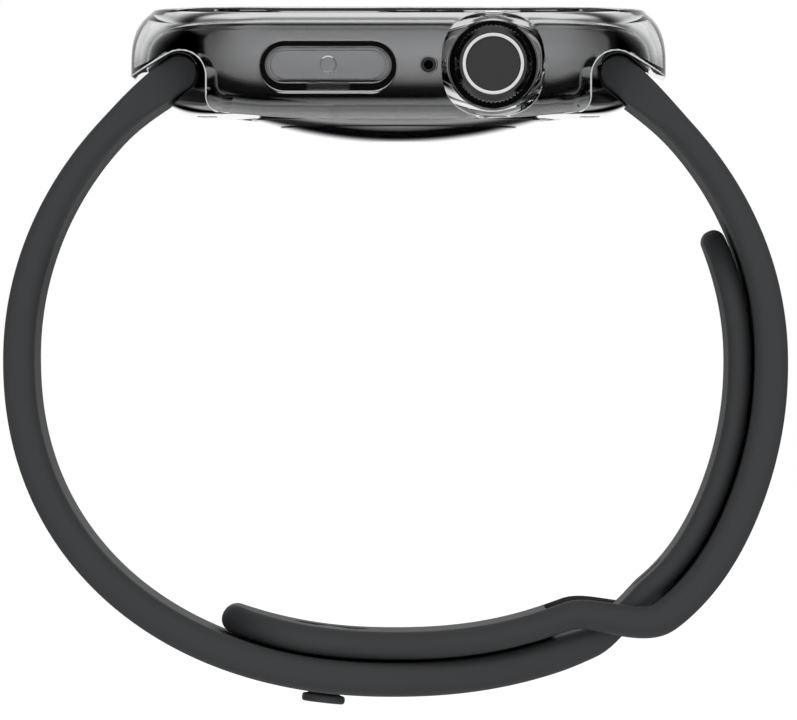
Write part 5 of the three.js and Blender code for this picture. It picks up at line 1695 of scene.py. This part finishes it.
def make_world():
    """A studio painted on directions. Azimuth is counted from -Y and elevation from the level.

    Mirrors see its panels, rays that only pass through clear plastic see its horizon, and the
    camera and matt surfaces see plain white."""
    world = bpy.data.worlds.new("studio")
    bpy.context.scene.world = world
    world.use_nodes = True
    tree = world.node_tree
    tree.nodes.clear()
    studio, azimuth, elevation = seen_in_mirrors(tree)
    horizon = seen_through_plastic(tree, azimuth, elevation)
    path = tree.nodes.new("ShaderNodeLightPath").outputs
    mirrored_ray = maths(tree, "GREATER_THAN", path["Glossy Depth"], 0.5)
    passed_ray = product(
        tree, maths(tree, "SUBTRACT", 1.0, mirrored_ray), path["Is Transmission Ray"],
    )
    clean = maths(tree, "LESS_THAN", path["Diffuse Depth"], 0.5)
    mirrored_ray = product(tree, mirrored_ray, clean)
    passed_ray = product(tree, passed_ray, clean)
    plain = maths(tree, "SUBTRACT", maths(tree, "SUBTRACT", 1.0, mirrored_ray), passed_ray)
    strength = maths(tree, "ADD", product(tree, studio, mirrored_ray), plain)
    strength = maths(tree, "ADD", strength, product(tree, horizon, passed_ray))
    light = add_node(tree, "ShaderNodeBackground", {"Color": WHITE, "Strength": strength})
    output = tree.nodes.new("ShaderNodeOutputWorld")
    tree.links.new(light.outputs[0], output.inputs["Surface"])


def stage_sheet(name, low, high, height):
    """A flat rectangle of the stage between two corners, with its tree and its output."""
    mesh = bpy.data.meshes.new(name)
    corners = [(low[0], low[1]), (high[0], low[1]), (high[0], high[1]), (low[0], high[1])]
    mesh.from_pydata([(x, y, height) for x, y in corners], [], [(0, 1, 2, 3)])
    sheet = bpy.data.objects.new(name, mesh)
    bpy.context.collection.objects.link(sheet)
    material, tree, output = bare_material(name)
    mesh.materials.append(material)
    return tree, output


def make_floor():
    """A wide pale floor below the watch that keeps its shadow, clear in mirrors and from below."""
    half = FLOOR_HALF_SIZE
    tree, output = stage_sheet("floor", (-half, -half), (half, half), FLOOR_HEIGHT)
    path = tree.nodes.new("ShaderNodeLightPath").outputs
    matt = add_node(tree, "ShaderNodeBsdfDiffuse", {"Color": (0.9, 0.9, 0.9, 1.0)})
    glow = add_node(tree, "ShaderNodeEmission", {"Color": WHITE, "Strength": FLOOR_GLOW})
    both = add_node(tree, "ShaderNodeAddShader", {0: matt.outputs[0], 1: glow.outputs[0]})
    clear = tree.nodes.new("ShaderNodeBsdfTransparent")
    white = add_node(tree, "ShaderNodeEmission", {"Color": WHITE, "Strength": FLOOR_THROUGH_CLEAR})
    mirrored_ray = maths(tree, "GREATER_THAN", path["Glossy Depth"], 0.5)
    from_below = tree.nodes.new("ShaderNodeNewGeometry").outputs["Backfacing"]
    hidden = maths(tree, "MAXIMUM", mirrored_ray, from_below)
    passed = mixed_shader(tree, path["Is Transmission Ray"], both.outputs[0], white.outputs[0])
    mixed = mixed_shader(tree, hidden, passed, clear.outputs[0])
    tree.links.new(mixed, output.inputs["Surface"])


def make_card():
    """A light card inside the strap's loop, seen only in mirrors, brighter away from the crown."""
    tree, output = stage_sheet(
        "reflector_card", (-CARD_HALF_LENGTH, CARD_FRONT), (CARD_HALF_LENGTH, CARD_REAR),
        CARD_HEIGHT,
    )
    place = add_node(tree, "ShaderNodeTexCoord").outputs["Object"]
    across = add_node(tree, "ShaderNodeSeparateXYZ", {0: place}).outputs[1]
    level = ramped(tree, across, CARD_FRONT, CARD_FRONT + CARD_FADE, *CARD_LEVELS)
    glow = add_node(tree, "ShaderNodeEmission", {"Color": WHITE, "Strength": level})
    clear = tree.nodes.new("ShaderNodeBsdfTransparent")
    path = tree.nodes.new("ShaderNodeLightPath").outputs
    mirrored_ray = product(
        tree, maths(tree, "GREATER_THAN", path["Glossy Depth"], 0.5),
        maths(tree, "LESS_THAN", path["Diffuse Depth"], 0.5),
        maths(tree, "SUBTRACT", 1.0, path["Is Shadow Ray"]),
    )
    mixed = mixed_shader(tree, mirrored_ray, clear.outputs[0], glow.outputs[0])
    tree.links.new(mixed, output.inputs["Surface"])


def make_floor():
    """A wide pale floor below the watch that keeps its shadow, clear in mirrors and from below."""
    mesh = bpy.data.meshes.new("floor")
    half = FLOOR_HALF_SIZE
    corners = [(-half, -half), (half, -half), (half, half), (-half, half)]
    mesh.from_pydata([(x, y, FLOOR_HEIGHT) for x, y in corners], [], [(0, 1, 2, 3)])
    floor = bpy.data.objects.new("floor", mesh)
    bpy.context.collection.objects.link(floor)
    material = bpy.data.materials.new("floor")
    material.use_nodes = True
    tree = material.node_tree
    tree.nodes.clear()
    path = tree.nodes.new("ShaderNodeLightPath")
    matt = add_node(tree, "ShaderNodeBsdfDiffuse", {"Color": (0.9, 0.9, 0.9, 1.0)})
    glow = add_node(tree, "ShaderNodeEmission", {"Color": (1, 1, 1, 1), "Strength": 0.16})
    both = add_node(tree, "ShaderNodeAddShader", {0: matt.outputs[0], 1: glow.outputs[0]})
    clear = tree.nodes.new("ShaderNodeBsdfTransparent")
    white = add_node(tree, "ShaderNodeEmission", {"Color": (1, 1, 1, 1), "Strength": 0.95})
    from_below = tree.nodes.new("ShaderNodeNewGeometry").outputs["Backfacing"]
    mirror = maths(
        tree, "MAXIMUM", maths(tree, "GREATER_THAN", path.outputs["Glossy Depth"], 0.5), from_below,
    )
    passed = add_node(tree, "ShaderNodeMixShader", {
        0: path.outputs["Is Transmission Ray"], 1: both.outputs[0], 2: white.outputs[0],
    })
    mixed = add_node(tree, "ShaderNodeMixShader", {
        0: mirror, 1: passed.outputs[0], 2: clear.outputs[0],
    })
    output = tree.nodes.new("ShaderNodeOutputMaterial")
    tree.links.new(mixed.outputs[0], output.inputs["Surface"])
    mesh.materials.append(material)


def make_card():
    """A light card inside the strap's loop, seen only in mirrors, brighter away from the crown."""
    mesh = bpy.data.meshes.new("reflector_card")
    corners = [
        (-CARD_HALF_LENGTH, CARD_FRONT), (CARD_HALF_LENGTH, CARD_FRONT),
        (CARD_HALF_LENGTH, CARD_REAR), (-CARD_HALF_LENGTH, CARD_REAR),
    ]
    mesh.from_pydata([(x, y, CARD_HEIGHT) for x, y in corners], [], [(0, 1, 2, 3)])
    card = bpy.data.objects.new("reflector_card", mesh)
    bpy.context.collection.objects.link(card)
    material = bpy.data.materials.new("reflector_card")
    material.use_nodes = True
    tree = material.node_tree
    tree.nodes.clear()
    place = add_node(tree, "ShaderNodeTexCoord").outputs["Object"]
    across = add_node(tree, "ShaderNodeSeparateXYZ", {0: place}).outputs[1]
    level = ramped(tree, across, CARD_FRONT, CARD_FRONT + 0.006, 0.3, 0.85)
    glow = add_node(tree, "ShaderNodeEmission", {"Color": (1, 1, 1, 1), "Strength": level})
    clear = tree.nodes.new("ShaderNodeBsdfTransparent")
    path = tree.nodes.new("ShaderNodeLightPath")
    mirror = product(
        tree, maths(tree, "GREATER_THAN", path.outputs["Glossy Depth"], 0.5),
        maths(tree, "LESS_THAN", path.outputs["Diffuse Depth"], 0.5),
        maths(tree, "SUBTRACT", 1.0, path.outputs["Is Shadow Ray"]),
    )
    mixed = add_node(tree, "ShaderNodeMixShader", {
        0: mirror, 1: clear.outputs[0], 2: glow.outputs[0],
    })
    output = tree.nodes.new("ShaderNodeOutputMaterial")
    tree.links.new(mixed.outputs[0], output.inputs["Surface"])
    mesh.materials.append(material)


def make_camera():
    """A long lens looking along +Y."""
    data = bpy.data.cameras.new("camera")
    data.lens = LENS
    data.sensor_width = SENSOR
    data.clip_start = 0.01
    data.clip_end = 20
    camera = bpy.data.objects.new("camera", data)
    camera.location = (0, -CAMERA_DISTANCE, CAMERA_HEIGHT)
    camera.rotation_euler = (math.pi / 2, 0, 0)
    bpy.context.collection.objects.link(camera)
    bpy.context.scene.camera = camera


bpy.context.scene.view_settings.view_transform = "Standard"
make_camera()
make_world()
make_floor()
make_card()


def dress(piece, body, slot, *nodes, finish=None):
    """A piece rides on its body, stands for its nodes and takes its slot's material, unless it
    has a finish of its own."""
    if not piece.data.materials:
        piece.data.materials.append(None)
    piece.data.materials[0] = MATERIALS[finish or slot]
    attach(piece, body)
    if nodes:
        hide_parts(*nodes)


dress(watch_housing(), "watch", "polished_metal", "watch_housing")
dress(front_crystal(), "watch", "screen_glass", "front_crystal")
dress(back_ring(), "watch", "back_ceramic", "back_cover")
dress(back_dome(), "watch", "back_crystal", "sensor_crystal")
# The crown's metal is the darker copy of the polished graphite, painted shade
dress(crown_wheel(), "crown", "polished_metal", "crown_knob", finish="crown_graphite_shaded")
dress(crown_bright_ring(), "crown", "bright_ring", "crown_ring")
dress(crown_disc(), "crown", "crown_face", "crown_cap")
dress(side_button(), "side_key", "polished_metal", "side_button")
dress(clear_shell(), "watch", "clear_plastic", "clear_case")
dress(button_flap(), "case_flap", "clear_plastic", "case_button_flap")
# The groove's strip and the crown well's ring are painted shade; the microphone's mesh is its own dark
# colour
for shade_or_mesh in (groove_shade_strip(), crown_well_shade_ring(), microphone_mesh()):
    dress(shade_or_mesh, "watch", "seal", finish="deep_black")
dress(microphone_collar(), "watch", "dark_plastic")
for lug_side, hour in ((1, "12"), (-1, "6")):
    key_low = BACK_HEIGHT + RELEASE_SINK
    key_high = key_low + RELEASE_THICKNESS
    key = release_block(f"release_key_{hour}", lug_side, 0.0, key_low, key_high, RELEASE_EDGE)
    dress(smoothed(key), f"release_{hour}", "polished_metal", f"release_button_{hour}")
    # Two near black strips in each lug's gap, painted shade
    for end, place in ((-1, "crown_side"), (1, "far_side")):
        shade_piece = lug_shade_strip(lug_side, end, f"lug_shade_strip_{hour}_{place}")
        dress(shade_piece, "band", "seal", finish="deep_black")
dress(strap_pin_half(), "band", "strap_rubber", "strap_pin_half")
dress(strap_tail_half(), "band", "strap_rubber", "strap_tail_half")
dress(clasp_stud(), "band", "stud_metal", "clasp_stud")
dress(clasp_base(), "band", "stud_metal", "clasp_stud_base")

# The frame's own parts keep their shapes and take their slots' materials
for row in frame["record"]["subparts"]:
    part = frame["nodes"][row["node"]]
    for place in part.material_slots:
        place.material = MATERIALS[row["material_slot"]]
